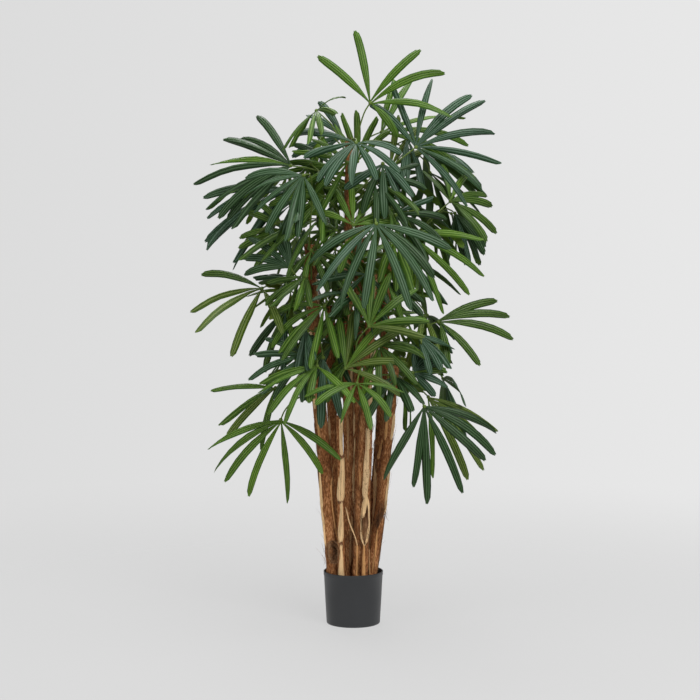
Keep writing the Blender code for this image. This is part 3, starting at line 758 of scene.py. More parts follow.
def range_of(tree, value, low, high, source=RAMP):
    """The value's source range stretched to low and high."""
    values = {"From Min": source[0], "From Max": source[1], "To Min": low, "To Max": high}
    return node_of(tree, "MapRange", value, "Value", values).outputs["Result"]


def bump_of(tree, value, bump, shader):
    node = node_of(tree, "Bump", value, "Height", {"Strength": bump[0], "Distance": bump[1]})
    tree.links.new(node.outputs["Normal"], shader.inputs["Normal"])


def scaled(colour, factor):
    return tuple(channel * factor for channel in colour)


def mottled(colour, share):
    """Stops from a little darker to a little paler than the colour."""
    return (RAMP[0], scaled(colour, 1.0 - share)), (RAMP[1], scaled(colour, 1.0 + share))


def leaf_material(name, colour, roughness):
    """Coated cloth: an even colour with faint mottling, fine veins along the blade and a satin gloss."""
    made, tree, shader = new_material(name, roughness, LEAF_GLOSS)
    mottle = noise_of(tree, coordinates(tree), LEAF_MOTTLE, LEAF_DETAIL)
    tree.links.new(ramp_of(tree, mottle, mottled(colour, LEAF_MOTTLING)), shader.inputs["Base Color"])
    low, high = (roughness + change for change in LEAF_ROUGHER)
    tree.links.new(range_of(tree, mottle, low, high), shader.inputs["Roughness"])
    blade = tree.nodes.new("ShaderNodeUVMap")
    blade.uv_map = BLADE_MAP
    values = {"Scale": VEIN_SCALE, "Distortion": VEIN_WANDER}
    veins = node_of(tree, "TexWave", blade.outputs["UV"], "Vector", values)
    veins.wave_type = "BANDS"
    veins.bands_direction = "X"
    bump_of(tree, veins.outputs["Fac"], VEIN_BUMP, shader)
    return made


def fibre_material(name, shades, stretch, scale, depth):
    """Dry fibre: streaks along the stem through three shades, from dark gaps to pale strands."""
    made, tree, shader = new_material(name, *FIBRE_SURFACE)
    streak = noise_of(tree, coordinates(tree, stretch), scale, *FIBRE_NOISE)
    patch = noise_of(tree, coordinates(tree, FIBRE_PATCH_STRETCH), FIBRE_PATCH)
    add = node_of(tree, "Math", patch, 0, {1: FIBRE_PATCH_SHARE})
    add.operation = "MULTIPLY_ADD"
    tree.links.new(streak, add.inputs[2])
    low, high = FIBRE_STOPS
    stops = zip((low, (low + high) / 2, high), shades)
    tree.links.new(ramp_of(tree, add.outputs["Value"], tuple(stops)), shader.inputs["Base Color"])
    bump_of(tree, streak, (FIBRE_STRENGTH, depth), shader)
    return made


def straw_material(name, colour, speckle):
    """Split cane: pale, finely ribbed along its length, with a few dark specks."""
    made, tree, shader = new_material(name, *STRAW_SURFACE)
    streak = noise_of(tree, coordinates(tree, STRAW_STRETCH), STRAW_SCALE, *STRAW_NOISE)
    specks = noise_of(tree, coordinates(tree, SPECK_STRETCH), SPECK_SCALE, *SPECK_NOISE)
    base = ramp_of(tree, streak, [(place, scaled(colour, factor)) for place, factor in STRAW_STOPS])
    marks = ramp_of(tree, specks, ((speckle, SPECK_COLOUR), (speckle + SPECK_EDGE, WHITE)))
    mix = tree.nodes.new("ShaderNodeMix")
    mix.data_type = "RGBA"
    mix.blend_type = "MULTIPLY"
    mix.inputs["Factor"].default_value = 1.0
    tree.links.new(base, mix.inputs["A"])
    tree.links.new(marks, mix.inputs["B"])
    tree.links.new(mix.outputs["Result"], shader.inputs["Base Color"])
    bump_of(tree, streak, STRAW_BUMP, shader)
    return made


def pot_material():
    """Moulded black plastic, satin, with a faint mould grain."""
    made, tree, shader = new_material("pot_plastic", *POT_SURFACE)
    place = coordinates(tree)
    mould = noise_of(tree, place, POT_GRAIN)
    cloud = noise_of(tree, place, POT_CLOUD)
    tree.links.new(ramp_of(tree, cloud, mottled(POT_COLOUR, POT_MOTTLING)), shader.inputs["Base Color"])
    tree.links.new(range_of(tree, cloud, *POT_ROUGHNESS), shader.inputs["Roughness"])
    bump_of(tree, mould, POT_BUMP, shader)
    return made


def fill_material():
    """Dark packing with paler crumbs."""
    made, tree, shader = new_material("pot_fill", *FILL_SURFACE)
    lumps = noise_of(tree, coordinates(tree), FILL_LUMPS, *FILL_NOISE)
    tree.links.new(ramp_of(tree, lumps, FILL_STOPS), shader.inputs["Base Color"])
    bump_of(tree, lumps, FILL_BUMP, shader)
    return made


# Greens: the blade, its ribs and its underside, dealt out by frond. The rib greens are paler than the
# blade: partly the ribs' own paler tone, partly a painted highlight along the pleats
Green = namedtuple("Green", "blade rib under")
GREENS = {
    "deep": Green((0.015, 0.047, 0.012), (0.064, 0.122, 0.060), (0.056, 0.112, 0.017)),
    "pine": Green((0.012, 0.037, 0.007), (0.050, 0.100, 0.038), (0.046, 0.096, 0.012)),
    "sea": Green((0.016, 0.051, 0.018), (0.074, 0.134, 0.084), (0.054, 0.108, 0.022)),
    "moss": Green((0.027, 0.068, 0.004), (0.084, 0.150, 0.027), (0.076, 0.143, 0.010)),
    "grass": Green((0.039, 0.099, 0.005), (0.112, 0.201, 0.027), (0.100, 0.182, 0.011)),
    "fresh": Green((0.050, 0.123, 0.004), (0.131, 0.228, 0.029), (0.118, 0.213, 0.013)),
    "olive": Green((0.054, 0.098, 0.007), (0.133, 0.185, 0.039), (0.127, 0.182, 0.015)),
    "vivid": Green((0.037, 0.100, 0.003), (0.094, 0.178, 0.019), (0.084, 0.165, 0.008)),
}
TONES = {
    "dark": ("deep", "pine", "sea", "moss", "deep", "sea"),
    "bright": ("grass", "fresh", "olive", "moss", "grass"),
}
VIVID_FRONDS = ("frond_01", "frond_03")
STRAY_LEAFLET = 0.16
STRAYS = {"dark": ("deep", "pine", "sea", "moss", "grass", "fresh"), "bright": TONES["bright"]}

# Fronds with shorter leaflets, as shares of their length by frond number
SHORTENED = {
    4: 0.74, 5: 0.82, 7: 0.72, 8: 0.86, 12: 0.78, 13: 0.80, 14: 0.82, 24: 0.88,
    25: 0.78, 33: 0.60, 34: 0.64, 35: 0.88, 37: 0.76, 38: 0.56, 42: 0.72, 43: 0.78,
}
SHORT_FRONDS = {f"frond_{number:02d}": share for number, share in SHORTENED.items()}

# Leaflets of the three most open fans, as (degrees turned in the fan's plane, share of the length)
LAID = {
    "frond_01": ((0, 0.60), (16, 1.06), (10, 1.12), (-14, 1.00), (-5, 1.11), (-6, 1.00)),
    "frond_16": ((-7, 1.00), (-17, 1.01), (-23, 1.02), (-26, 1.05), (-2, 0.96), (21, 0.81), (12, 0.95)),
    "frond_21": ((-24, 0.60), (-19, 0.81), (3, 0.97), (-12, 0.98), (-21, 0.96)),
}
LEAF_ROUGHNESS = 0.44
RIB_ROUGHNESS = 0.38
UNDER_ROUGHNESS = 0.60

# Fine leaflets: stations along the blade, and the section's corners as (across, height, set back at the
# tip), from the middle outwards on one side
FINE_STATIONS = (-0.035, 0.05, 0.14, 0.25, 0.40, 0.55, 0.70, 0.83, 0.94, 1.0)
HALF_SECTION = (
    (0.12, 0.00100, 0.0010),
    (0.28, 0.00020, 0.0035),
    (0.42, 0.00160, 0.0000),
    (0.66, 0.00150, 0.0005),
    (0.82, 0.00010, 0.0040),
    (1.00, -0.00100, 0.0070),
)
KEEL = (0.00, -0.00160, 0.0035)
OTHER_HALF = [(-across, height, back) for across, height, back in reversed(HALF_SECTION)]
SECTION = (HALF_SECTION[-1], KEEL, *OTHER_HALF, *HALF_SECTION[:-1])
RIB_STRIPS = (4, 7, 10)
UNDER_STRIPS = (0, 1)
ROOT_WIDTH = 0.16
FINE_WIDTH = (
    (0.0, 0.16), (0.08, 0.34), (0.22, 0.74), (0.42, 0.97),
    (0.62, 1.0), (0.86, 0.93), (0.95, 0.74), (1.0, 0.42),
)
RIPPLE = 0.0013
RIPPLE_CYCLES = (0.8, 1.9)
FLAT_AT_ROOT = 0.35
BREADTH = {"dark": (0.90, 1.04), "bright": (0.84, 0.99)}
BREADTH_RANGE = (0.90, 1.06)
STRAY_TURN = 0.11
STRAY_TIP = 0.12
STRAY_LENGTH = (0.92, 1.03)
TWIST = 1.2
BEND = 0.060
SAG = 0.10
FOLD = 0.38
FOLD_FROM = 0.3
FOLDED_SHARE = 0.30
FOLDED = 1.1
CREASE = 40.0


class Batch:
    """Points and faces of one kind gathered into one joined piece."""

    def __init__(self):
        self.points = []
        self.faces = []
        self.slots = []
        self.corners = []

    def add(self, points, faces, slots=None, corners=None):
        first = len(self.points)
        self.points.extend(points)
        self.faces.extend(tuple(first + index for index in face) for face in faces)
        self.slots.extend(slots or [0] * len(faces))
        self.corners.extend(corners or [(0.5, 0.5)] * sum(len(face) for face in faces))

    def piece(self, name, slot, materials, nodes=(), sharp=CREASE):
        mesh = bpy.data.meshes.new(name)
        mesh.from_pydata(self.points, [], self.faces)
        coat(mesh, sharp, *materials)
        mesh.polygons.foreach_set("material_index", self.slots)
        layer = mesh.uv_layers.new(name=BLADE_MAP)
        layer.data.foreach_set("uv", [value for corner in self.corners for value in corner])
        mesh.update()
        finish_piece(put(name, mesh), slot, *nodes)


def coat(mesh, sharp, *materials):
    """Smooth shading, broken at edges sharper than this angle, and the materials."""
    for made in materials:
        mesh.materials.append(made)
    mesh.shade_smooth()
    mesh.set_sharp_from_angle(angle=math.radians(sharp))


def finish_piece(obj, slot, *nodes):
    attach(obj, BODY)
    if nodes:
        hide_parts(*nodes)


def fine_leaflet(leaf, chance, breadth, share, folded, batch, laid=None):
    """One thin pleated blade with three raised ribs and a blunt toothed tip.

    Laid is a turn in degrees and a share of the length for a blade that lies as in the photo.
    """
    hub, way, normal, length, droop, roll = leaf
    way = way.copy()
    turn, tip = chance.uniform(-STRAY_TURN, STRAY_TURN), chance.uniform(-STRAY_TIP, STRAY_TIP)
    size = chance.uniform(*STRAY_LENGTH)
    if laid:
        turn, tip, size = math.radians(laid[0]), 0.0, laid[1]
    way.rotate(Quaternion(normal, turn))
    way.rotate(Quaternion(normal.cross(way), tip))
    length *= share * size
    broad = breadth * chance.uniform(*BREADTH_RANGE)
    twist = chance.uniform(-TWIST, TWIST)
    bend = normal.cross(way) * chance.uniform(-BEND, BEND) * length
    sag = UP * chance.uniform(0.0, SAG) * length
    shut = chance.random() < folded and not laid
    fold = FOLDED if shut else chance.uniform(0.0, FOLD)
    cycles = chance.uniform(*RIPPLE_CYCLES)
    phases = (chance.uniform(0, math.tau), chance.uniform(0, math.tau))
    points = []
    for t in FINE_STATIONS:
        out = max(t, 0.0)
        grown = read_curve(FINE_WIDTH, t) if t > 0 else ROOT_WIDTH
        half = LEAF_WIDTH / 2 * grown * broad
        shift = bend * (t * t) - sag * (out ** 3)
        lift = lerp(FLAT_AT_ROOT, 1.0, grown)
        for across, height, back in SECTION:
            at = t - back / length if t == FINE_STATIONS[-1] else t
            here = leaflet_spine(hub, way, normal, length, droop, at)
            ahead = leaflet_spine(hub, way, normal, length, droop, at + LOOK_AHEAD) - here
            ahead.normalize()
            side = ahead.cross(normal).normalized()
            side.rotate(Quaternion(ahead, roll * out + twist * out ** 2))
            top = side.cross(ahead).normalized()
            drop = fold * half * abs(across) * min(out / FOLD_FROM, 1.0)
            ripple = RIPPLE * abs(across) * math.sin(math.tau * cycles * t + phases[across > 0]) * grown
            points.append(here + shift + side * (half * across) + top * (height * lift + ripple - drop))
    batch.add(points, *blade_faces())


def blade_faces():
    """A fine leaflet's faces, their slots (blade, rib, underside), and their corners on the vein map."""
    count = len(SECTION)
    faces = [tuple(reversed(range(count)))]
    slots = [0]
    corners = [(0.5, 0.0)] * count
    for i in range(len(FINE_STATIONS) - 1):
        low, high = max(FINE_STATIONS[i], 0.0), FINE_STATIONS[i + 1]
        for j in range(count):
            k = (j + 1) % count
            a, b = i * count + j, i * count + k
            faces.append((a, b, b + count, a + count))
            slots.append(1 if j in RIB_STRIPS else 2 if j in UNDER_STRIPS else 0)
            left, right = (SECTION[j][0] + 1) / 2, (SECTION[k][0] + 1) / 2
            corners.extend(((left, low), (right, low), (right, high), (left, high)))
    last = (len(FINE_STATIONS) - 1) * count
    faces.append(tuple(range(last, last + count)))
    slots.append(0)
    corners.extend([(0.5, 1.0)] * count)
    return faces, slots, corners


def shade_of(name, frond):
    return "vivid" if name in VIVID_FRONDS else random.Random(name).choice(TONES[frond.tone])


def add_fan(leaves, tone, shade, chance, batches, share=1.0, slim=1.0, folded=FOLDED_SHARE, laid=()):
    """One fan's leaflets. Share shortens them, slim narrows them, and laid places them one by one."""
    breadth = slim * chance.uniform(*BREADTH[tone])
    for number, leaf in enumerate(leaves):
        stray = chance.random() < STRAY_LEAFLET
        batch = batches[chance.choice(STRAYS[tone]) if stray else shade]
        fine_leaflet(leaf, chance, breadth, share, folded, batch, laid[number] if laid else None)


def make_leaves(crown, inner):
    """Every leaflet, joined by shade. A few in each frond take another shade of the frond's tone."""
    batches = {shade: Batch() for shade in GREENS}
    nodes = {shade: [] for shade in GREENS}
    for name, frond, _, leaves, fan in crown:
        chance = random.Random(name + "_fine")
        shade = shade_of(name, frond)
        nodes[shade].append(name)
        short, laid = SHORT_FRONDS.get(name, 1.0), LAID.get(name, ())
        add_fan(leaves, frond.tone, shade, chance, batches, short, laid=laid)
        if fan:
            add_fan(fan[3], frond.tone, shade, chance, batches)
    for number, (frond, _, leaves) in enumerate(inner):
        chance = random.Random(f"inner_{number}")
        shade = chance.choice(INNER_TONES[frond.tone])
        add_fan(leaves, frond.tone, shade, chance, batches, INNER_SHARE, INNER_BREADTH, INNER_FOLDED)
    for shade, batch in batches.items():
        if not batch.faces:
            continue
        green = GREENS[shade]
        materials = (
            leaf_material(f"leaf_{shade}", green.blade, LEAF_ROUGHNESS),
            # The rib green is partly the ribs' own paler tone, partly a painted highlight
            leaf_material(f"rib_{shade}", green.rib, RIB_ROUGHNESS),
            leaf_material(f"underside_{shade}", green.under, UNDER_ROUGHNESS),
        )
        slot = "leaf_dark" if shade in TONES["dark"] else "leaf_bright"
        batch.piece(f"leaves_{shade}", slot, materials, nodes[shade])


# Petioles
FINE_POINTS = 16
FINE_SIDES = 8
SUNK_ROOT = 0.006
SHEATH_LENGTH = 0.045
SHEATH_GROWTH = 1.1
KNOT_RADIUS = 0.0062
KNOT_HEIGHT = 0.0081375
KNOT_RINGS = (0.5, 0.87, 1.0, 0.87, 0.5)
INNER_BOW = 0.12
INNER_SWELL = (1.5, 1.3, 1.0, 1.0)
INNER_SIDES = 6
BRANCH_SINK = 0.0008
STEM_GREEN = (0.095, 0.150, 0.022)
STEM_ROUGHNESS = 0.5


def curve_through(line, points):
    """Places along a smooth curve through these points."""
    places = []
    for i in range(points):
        at = i / (points - 1) * (len(line) - 1)
        k = min(int(at), len(line) - 2)
        f = at - k
        p, q = line[k], line[k + 1]
        m0 = (q - line[max(k - 1, 0)]) / 2
        m1 = (line[min(k + 2, len(line) - 1)] - p) / 2
        places.append(
            p * (2 * f ** 3 - 3 * f ** 2 + 1) + m0 * (f ** 3 - 2 * f ** 2 + f)
            + q * (3 * f ** 2 - 2 * f ** 3) + m1 * (f ** 3 - f ** 2)
        )
    return places


def fine_route(route, points):
    """The petiole's route read finely, with its root sunk into the stem."""
    inward = (route[0] - route[1]).normalized()
    return curve_through([route[0] + inward * SUNK_ROOT, *route], points)


def fine_radii(places):
    """The petiole's radii, swollen near the stem by its sheath."""
    radii = petiole_radii(places)
    gone = 0.0
    for i, place in enumerate(places):
        gone += (place - places[i - 1]).length if i else 0.0
        radii[i] *= 1.0 + SHEATH_GROWTH * (1.0 - smooth(min(gone / SHEATH_LENGTH, 1.0)))
    return radii


def add_tube(batch, places, radii, sides):
    batch.add(*loft(tube_rings(places, radii, sides)))


def add_knot(batch, hub, normal):
    """A small knot where the leaflets' narrow bases meet."""
    turn = normal.to_track_quat("Z", "Y")
    rings = []
    for i, share in enumerate(KNOT_RINGS):
        level = (i / (len(KNOT_RINGS) - 1) - 0.5) * KNOT_HEIGHT
        rings.append(ring_of(hub, turn, KNOT_RADIUS * share, FINE_SIDES, level))
    batch.add(*loft(rings))


def make_petioles(crown, inner):
    batch = Batch()
    for frond, root, _ in inner:
        hub = Vector(frond.hub)
        inward = (stem_axis(STEMS[frond.stem], root.z) - root).normalized()
        bow = UP * (hub - root).length * INNER_BOW
        line = [root + inward * SUNK_ROOT, root, root.lerp(hub, 0.5) + bow, hub]
        add_tube(batch, line, [PETIOLE_TIP * swell for swell in INNER_SWELL], INNER_SIDES)
        add_knot(batch, hub, blade_frame(frond)[2])
    for _, frond, route, _, fan in crown:
        places = fine_route(route, FINE_POINTS)
        add_tube(batch, places, fine_radii(places), FINE_SIDES)
        add_knot(batch, Vector(frond.hub), blade_frame(frond)[2])
        if fan:
            hub, normal, root, _ = fan
            line = [root, root.lerp(hub, 0.5) - UP * BRANCH_SINK, hub]
            add_tube(batch, line, [PETIOLE_TIP] * 3, FINE_SIDES)
            add_knot(batch, hub, normal)
    made = leaf_material("petiole_green", STEM_GREEN, STEM_ROUGHNESS)
    batch.piece("petioles", "leaf_bright", [made])


# Stems
BARK_SIDES = 40
BARK_STEP = 0.0045
BARK_SINK = 0.004
BARK_CREASE = 60
SHEATH_FIRST = (0.02, 0.06)
SHEATH_PITCH = (0.085, 0.150)
SHEATH_LIP = 0.0019
SHEATH_EDGE = (0.030, SHEATH_LIP)
CANE_EDGE = (0.004, 0.0016)
CANE_CALM = 0.25
RIDGE = 0.0011
FINE_RIDGE = 0.7
LUMP = 0.0012
BARK_INSET = 0.0006
TUFT_TOP = 0.018
TUFT_NOISE = (3.0, 50.0)
CANE_NODES = {
    "pale_left": (0.236, 0.362, 0.520),
    "pale_right": (0.232, 0.380, 0.545),
}
BARK_SHADES = ((0.086, 0.030, 0.011), (0.296, 0.116, 0.041), (0.64, 0.325, 0.142))
BARK_STRETCH = 0.30
BARK_GRAIN = 330.0
BARK_DEPTH = 0.0016

# Noises of the bark's ridges, fine ridges and lumps, as (scale across, scale along, share of the seed)
BARK_NOISES = ((3.5, 14.0, 1), (8.0, 34.0, -1), (1.2, 40.0, 2))


def grain(out, scale, level):
    """Noise round a stem: the scale is across, and the level is the place along it."""
    return noise.noise(Vector((out.x * scale, out.y * scale, level)))


def sheath_edges(name, stem, chance):
    """Heights where one leaf sheath ends over the next, each with the bearing of its highest point."""
    if name in CANE_NODES:
        return [(height, chance.uniform(0, math.tau)) for height in CANE_NODES[name]]
    edges = []
    height = FILL_TOP + chance.uniform(*SHEATH_FIRST)
    while height < stem.top:
        edges.append((height, chance.uniform(0, math.tau)))
        height += chance.uniform(*SHEATH_PITCH)
    return edges


def sheath_lift(edges, height, angle, slant, lip):
    """How far the sheath stands off at this point: most just under an edge, none just over it."""
    below = FILL_TOP
    for edge, turn in edges:
        here = edge + slant * math.cos(angle - turn)
        if height < here:
            share = (height - below) / max(here - below, MM)
            return lip * max(share, 0.0) ** 2
        below = here
    return 0.0


def bark_point(name, stem, edges, height, angle):
    """A point of the stem's surface, with ridges along it, lumps and the sheaths' lips."""
    cane = name in CANE_NODES
    out = spoke(angle)
    seed = sum(ord(letter) for letter in name)
    ridges, fine, lumps = (
        grain(out, across, height * along + share * seed) for across, along, share in BARK_NOISES
    )
    calm = CANE_CALM if cane else 1.0
    radius = stem_radius(stem, height)
    radius += calm * (RIDGE * (ridges + FINE_RIDGE * fine) + LUMP * lumps) - BARK_INSET
    radius += sheath_lift(edges, height, angle, *(CANE_EDGE if cane else SHEATH_EDGE))
    return stem_axis(stem, height) + out * radius


def make_stem_piece(name, stem, finish):
    """A cylinder cut into rings in edit mode, whose corners are then set on the stem's relief."""
    chance = random.Random("bark_" + name)
    edges = sheath_edges(name, stem, chance)
    foot = FILL_TOP - BARK_SINK
    rings = int((stem.top - foot) / BARK_STEP)
    bpy.ops.object.select_all(action="DESELECT")
    bpy.ops.mesh.primitive_cylinder_add(vertices=BARK_SIDES, radius=1.0, depth=1.0, end_fill_type="NGON")
    obj = bpy.context.object
    obj.name = "bark_" + name
    bpy.ops.object.mode_set(mode="EDIT")
    shape = bmesh.from_edit_mesh(obj.data)
    for part in (*shape.verts, *shape.edges, *shape.faces):
        part.select_set(False)
    for edge in shape.edges:
        low, high = edge.verts
        if abs(low.co.z - high.co.z) > 0.5:
            edge.select_set(True)
    bmesh.update_edit_mesh(obj.data)
    bpy.ops.mesh.subdivide(number_cuts=rings - 1)
    bpy.ops.object.mode_set(mode="OBJECT")
    mesh = obj.data
    mesh.transform(obj.matrix_world)
    obj.matrix_world = Matrix.Identity(4)
    for vert in mesh.vertices:
        share = vert.co.z + 0.5
        angle = math.atan2(vert.co.y, vert.co.x)
        height = lerp(foot, stem.top, share)
        if share > 1.0 - MM:
            height -= TUFT_TOP * abs(grain(vert.co, TUFT_NOISE[0], stem.top * TUFT_NOISE[1]))
        vert.co = bark_point(name, stem, edges, height, angle)
    coat(mesh, BARK_CREASE, finish)
    finish_piece(obj, "sheath_straw" if name in CANE_NODES else "stem_fibre", "stem_" + name)


# Straw strips split off the stems: the stem, the share of its radius across at foot and top, heights,
# width and finish. They are the ones that show from the front.
Strip = namedtuple("Strip", "stem low_across high_across foot top width finish")
STRIPS = (
    Strip("left", -0.80, -0.86, 0.655, 0.760, 0.0095, "straw"),
    Strip("left", -0.50, -0.60, 0.790, 0.890, 0.0090, "straw"),
    Strip("left", -0.92, -0.88, 0.960, 1.050, 0.0065, "straw"),
    Strip("left", 0.85, 0.80, 0.965, 1.055, 0.0060, "straw"),
    Strip("left", 0.10, 0.25, 0.700, 0.800, 0.0060, "tan"),
    Strip("centre", 0.62, 0.55, 0.700, 0.820, 0.0095, "straw"),
    Strip("centre", -0.46, -0.38, 0.975, 1.175, 0.0105, "straw"),
    Strip("centre", 0.15, 0.30, 0.840, 0.960, 0.0080, "straw"),
    Strip("centre_right", 0.62, 0.74, 0.735, 0.860, 0.0145, "speckled"),
    Strip("centre_right", 0.66, 0.62, 0.600, 0.730, 0.0140, "straw"),
    Strip("centre_right", -0.10, 0.60, 0.965, 1.045, 0.0085, "straw"),
    Strip("right", 0.88, 0.86, 0.335, 0.475, 0.0085, "straw"),
    Strip("right", -0.60, -0.45, 0.560, 0.640, 0.0090, "tan"),
    Strip("right", 0.62, 0.70, 0.560, 0.640, 0.0085, "straw"),
    Strip("right", 0.10, 0.00, 0.160, 0.290, 0.0050, "tan"),
)
STRIP_SEED = 11
REAR_STRIPS = 7
REAR_SIDE = 0.05
REAR_FOOT = 0.01
REAR_SPARE = (0.12, 0.01)
REAR_LENGTH = (0.08, 0.26)
REAR_WIDTH = (0.005, 0.012)
REAR_LEAN = 0.15
REAR_FINISHES = ("straw", "straw", "tan", "olive")
STRAWS = {
    "straw": ((0.700, 0.470, 0.240), 0.27),
    "tan": ((0.560, 0.285, 0.105), 0.27),
    "olive": ((0.450, 0.245, 0.105), 0.30),
    "speckled": ((0.660, 0.450, 0.240), 0.335),
    "brown": ((0.190, 0.080, 0.032), 0.30),
}
STRIP_RINGS = 14
STRIP_CORNERS = ((1.0, 0.0), (0.0, -0.6), (-1.0, 0.0), (-0.5, 0.9), (0.0, 1.2), (0.5, 0.9))
STRIP_THICK = 0.0009
STRIP_OFF = 0.0012
STRIP_END = 0.12
STRIP_NARROW = 0.30
STRIP_SWAY = (0.05, 2.2 * math.pi)
STRIP_UNEVEN = (0.10, 5.0)
STRIP_STAND = 0.6
STRIP_LIFT = (0.4, 3.0)


def splint_ring(centre, side, face, half):
    """A splint's flat section, its outer side towards face."""
    return [centre + side * (half * across) + face * (STRIP_THICK * up) for across, up in STRIP_CORNERS]


def fullest_midway(least, t):
    """1 midway, falling to this least share at both ends."""
    return least + (1.0 - least) * math.sin(math.pi * t)


def from_ends(t, share):
    """0 at both ends, rising to 1 over this share of the length."""
    return min(t / share, (1.0 - t) / share, 1.0)


def add_strip(batch, stem, angles, foot, top, width, chance, turn_front=0.0):
    """A flat splint that lies along the stem, narrowed to both ends, with a little wander."""
    rings = []
    wander = chance.uniform(0, math.tau)
    for i in range(STRIP_RINGS):
        t = i / (STRIP_RINGS - 1)
        height = lerp(foot, top, t)
        out = spoke(lerp(*angles, t) + wave(*STRIP_SWAY, t, wander))
        face = (out + Vector((0.0, -turn_front, 0.0))).normalized()
        side = UP.cross(face).normalized()
        even = 1.0 + wave(*STRIP_UNEVEN, t, wander)
        half = width / 2 * lerp(STRIP_NARROW, 1.0, from_ends(t, STRIP_END)) * even
        off = STRIP_OFF + SHEATH_LIP * (STRIP_STAND + wave(*STRIP_LIFT, t, wander))
        centre = stem_axis(stem, height) + out * (stem_radius(stem, height) + off)
        rings.append(splint_ring(centre, side, face, half))
    batch.add(*loft(rings))


# Ribbons: loose splints in front of the clump, as (x, z) points from the foot up
Ribbon = namedtuple("Ribbon", "finish width line")
RIBBONS = (
    Ribbon("straw", 0.0100, ((-0.0814, 0.236), (-0.0870, 0.293), (-0.0956, 0.384), (-0.1003, 0.499))),
    Ribbon("tan", 0.0080, ((-0.0972, 0.541), (-0.1055, 0.604), (-0.1099, 0.649))),
    Ribbon("tan", 0.0058, (
        (-0.0451, 0.255), (-0.0532, 0.293), (-0.0609, 0.342), (-0.0657, 0.384),
        (-0.0674, 0.423), (-0.0629, 0.462), (-0.0554, 0.484),
    )),
    Ribbon("straw", 0.0055, ((-0.0715, 0.547), (-0.0727, 0.589), (-0.0739, 0.625))),
    Ribbon("olive", 0.0070, ((-0.0154, 0.496), (-0.0160, 0.565), (-0.0172, 0.640))),
    Ribbon("straw", 0.0095, ((0.0010, 0.559), (0.0004, 0.625), (-0.0002, 0.673))),
    Ribbon("straw", 0.0080, (
        (0.0020, 0.366), (-0.0013, 0.390), (-0.0010, 0.444), (0.0014, 0.511), (0.0049, 0.556),
    )),
    Ribbon("tan", 0.0070, ((0.0110, 0.146), (0.0116, 0.202), (0.0110, 0.251))),
    Ribbon("olive", 0.0085, ((-0.0091, 0.178), (-0.0076, 0.278), (-0.0046, 0.330))),
    Ribbon("straw", 0.0115, (
        (0.0326, 0.248), (0.0266, 0.284), (0.0260, 0.318), (0.0304, 0.360), (0.0379, 0.402),
    )),
    Ribbon("straw", 0.0080, (
        (0.0344, 0.248), (0.0434, 0.281), (0.0460, 0.318), (0.0445, 0.360), (0.0415, 0.399),
    )),
    Ribbon("straw", 0.0088, ((0.0595, 0.315), (0.0648, 0.375), (0.0660, 0.429), (0.0671, 0.493))),
    Ribbon("brown", 0.0060, ((0.0678, 0.456), (0.0695, 0.499), (0.0677, 0.535), (0.0635, 0.562))),
    Ribbon("tan", 0.0095, ((0.0749, 0.493), (0.0814, 0.523), (0.0892, 0.553))),
    Ribbon("olive", 0.0060, ((0.0489, 0.146), (0.0500, 0.248), (0.0493, 0.330))),
    Ribbon("tan", 0.0050, ((0.0199, 0.414), (0.0205, 0.475))),
)
RIBBON_POINTS = 26
RIBBON_OFF = 0.0012
RIBBON_EASE = 6
RIBBON_END = 0.16
RIBBON_NARROW = 0.22
RIBBON_CURL = (0.35, 4.0)
RIBBON_UNEVEN = (0.14, 9.0)
LOOSE_FRONT = -0.040


def front_at(across, height):
    """The Y of the clump's front surface at this place."""
    front = []
    for stem in STEMS.values():
        if height > stem.top:
            continue
        axis = stem_axis(stem, height)
        radius = stem_radius(stem, height)
        off = abs(across - axis.x)
        if off < radius:
            front.append(axis.y - math.sqrt(radius * radius - off * off))
    return min(front, default=LOOSE_FRONT)


def laid_on(line, points, off):
    """A smooth curve through (x, z) points that lies on the front of the clump, a little off it."""
    places = curve_through([Vector((x, 0.0, z)) for x, z in line], points)
    depths = [front_at(place.x, place.z) - off for place in places]
    for _ in range(RIBBON_EASE):
        padded = [depths[0], *depths, depths[-1]]
        depths = [min(depths[i], sum(padded[i:i + 3]) / 3) for i in range(points)]
    return [Vector((place.x, depth, place.z)) for place, depth in zip(places, depths)]


def add_ribbon(batch, ribbon, chance):
    places = laid_on(ribbon.line, RIBBON_POINTS, RIBBON_OFF)
    phase = chance.uniform(0, math.tau)
    rings = []
    for i, place in enumerate(places):
        t = i / (RIBBON_POINTS - 1)
        ahead = (places[min(i + 1, RIBBON_POINTS - 1)] - places[max(i - 1, 0)]).normalized()
        face = Vector((wave(*RIBBON_CURL, t, phase), -1.0, 0.0)).normalized()
        side = ahead.cross(face).normalized()
        even = 1.0 + wave(*RIBBON_UNEVEN, t, phase)
        half = ribbon.width / 2 * lerp(RIBBON_NARROW, 1.0, smooth(from_ends(t, RIBBON_END))) * even
        rings.append(splint_ring(place, side, face, half))
    batch.add(*loft(rings))


def finish_straws(kind, batches, sharp=CREASE):
    """One piece of this kind for each finish in use."""
    for finish, batch in batches.items():
        if batch.faces:
            made = straw_material(f"{kind}_{finish}", *STRAWS[finish])
            batch.piece(f"{kind}s_{finish}", "sheath_straw", [made], sharp=sharp)


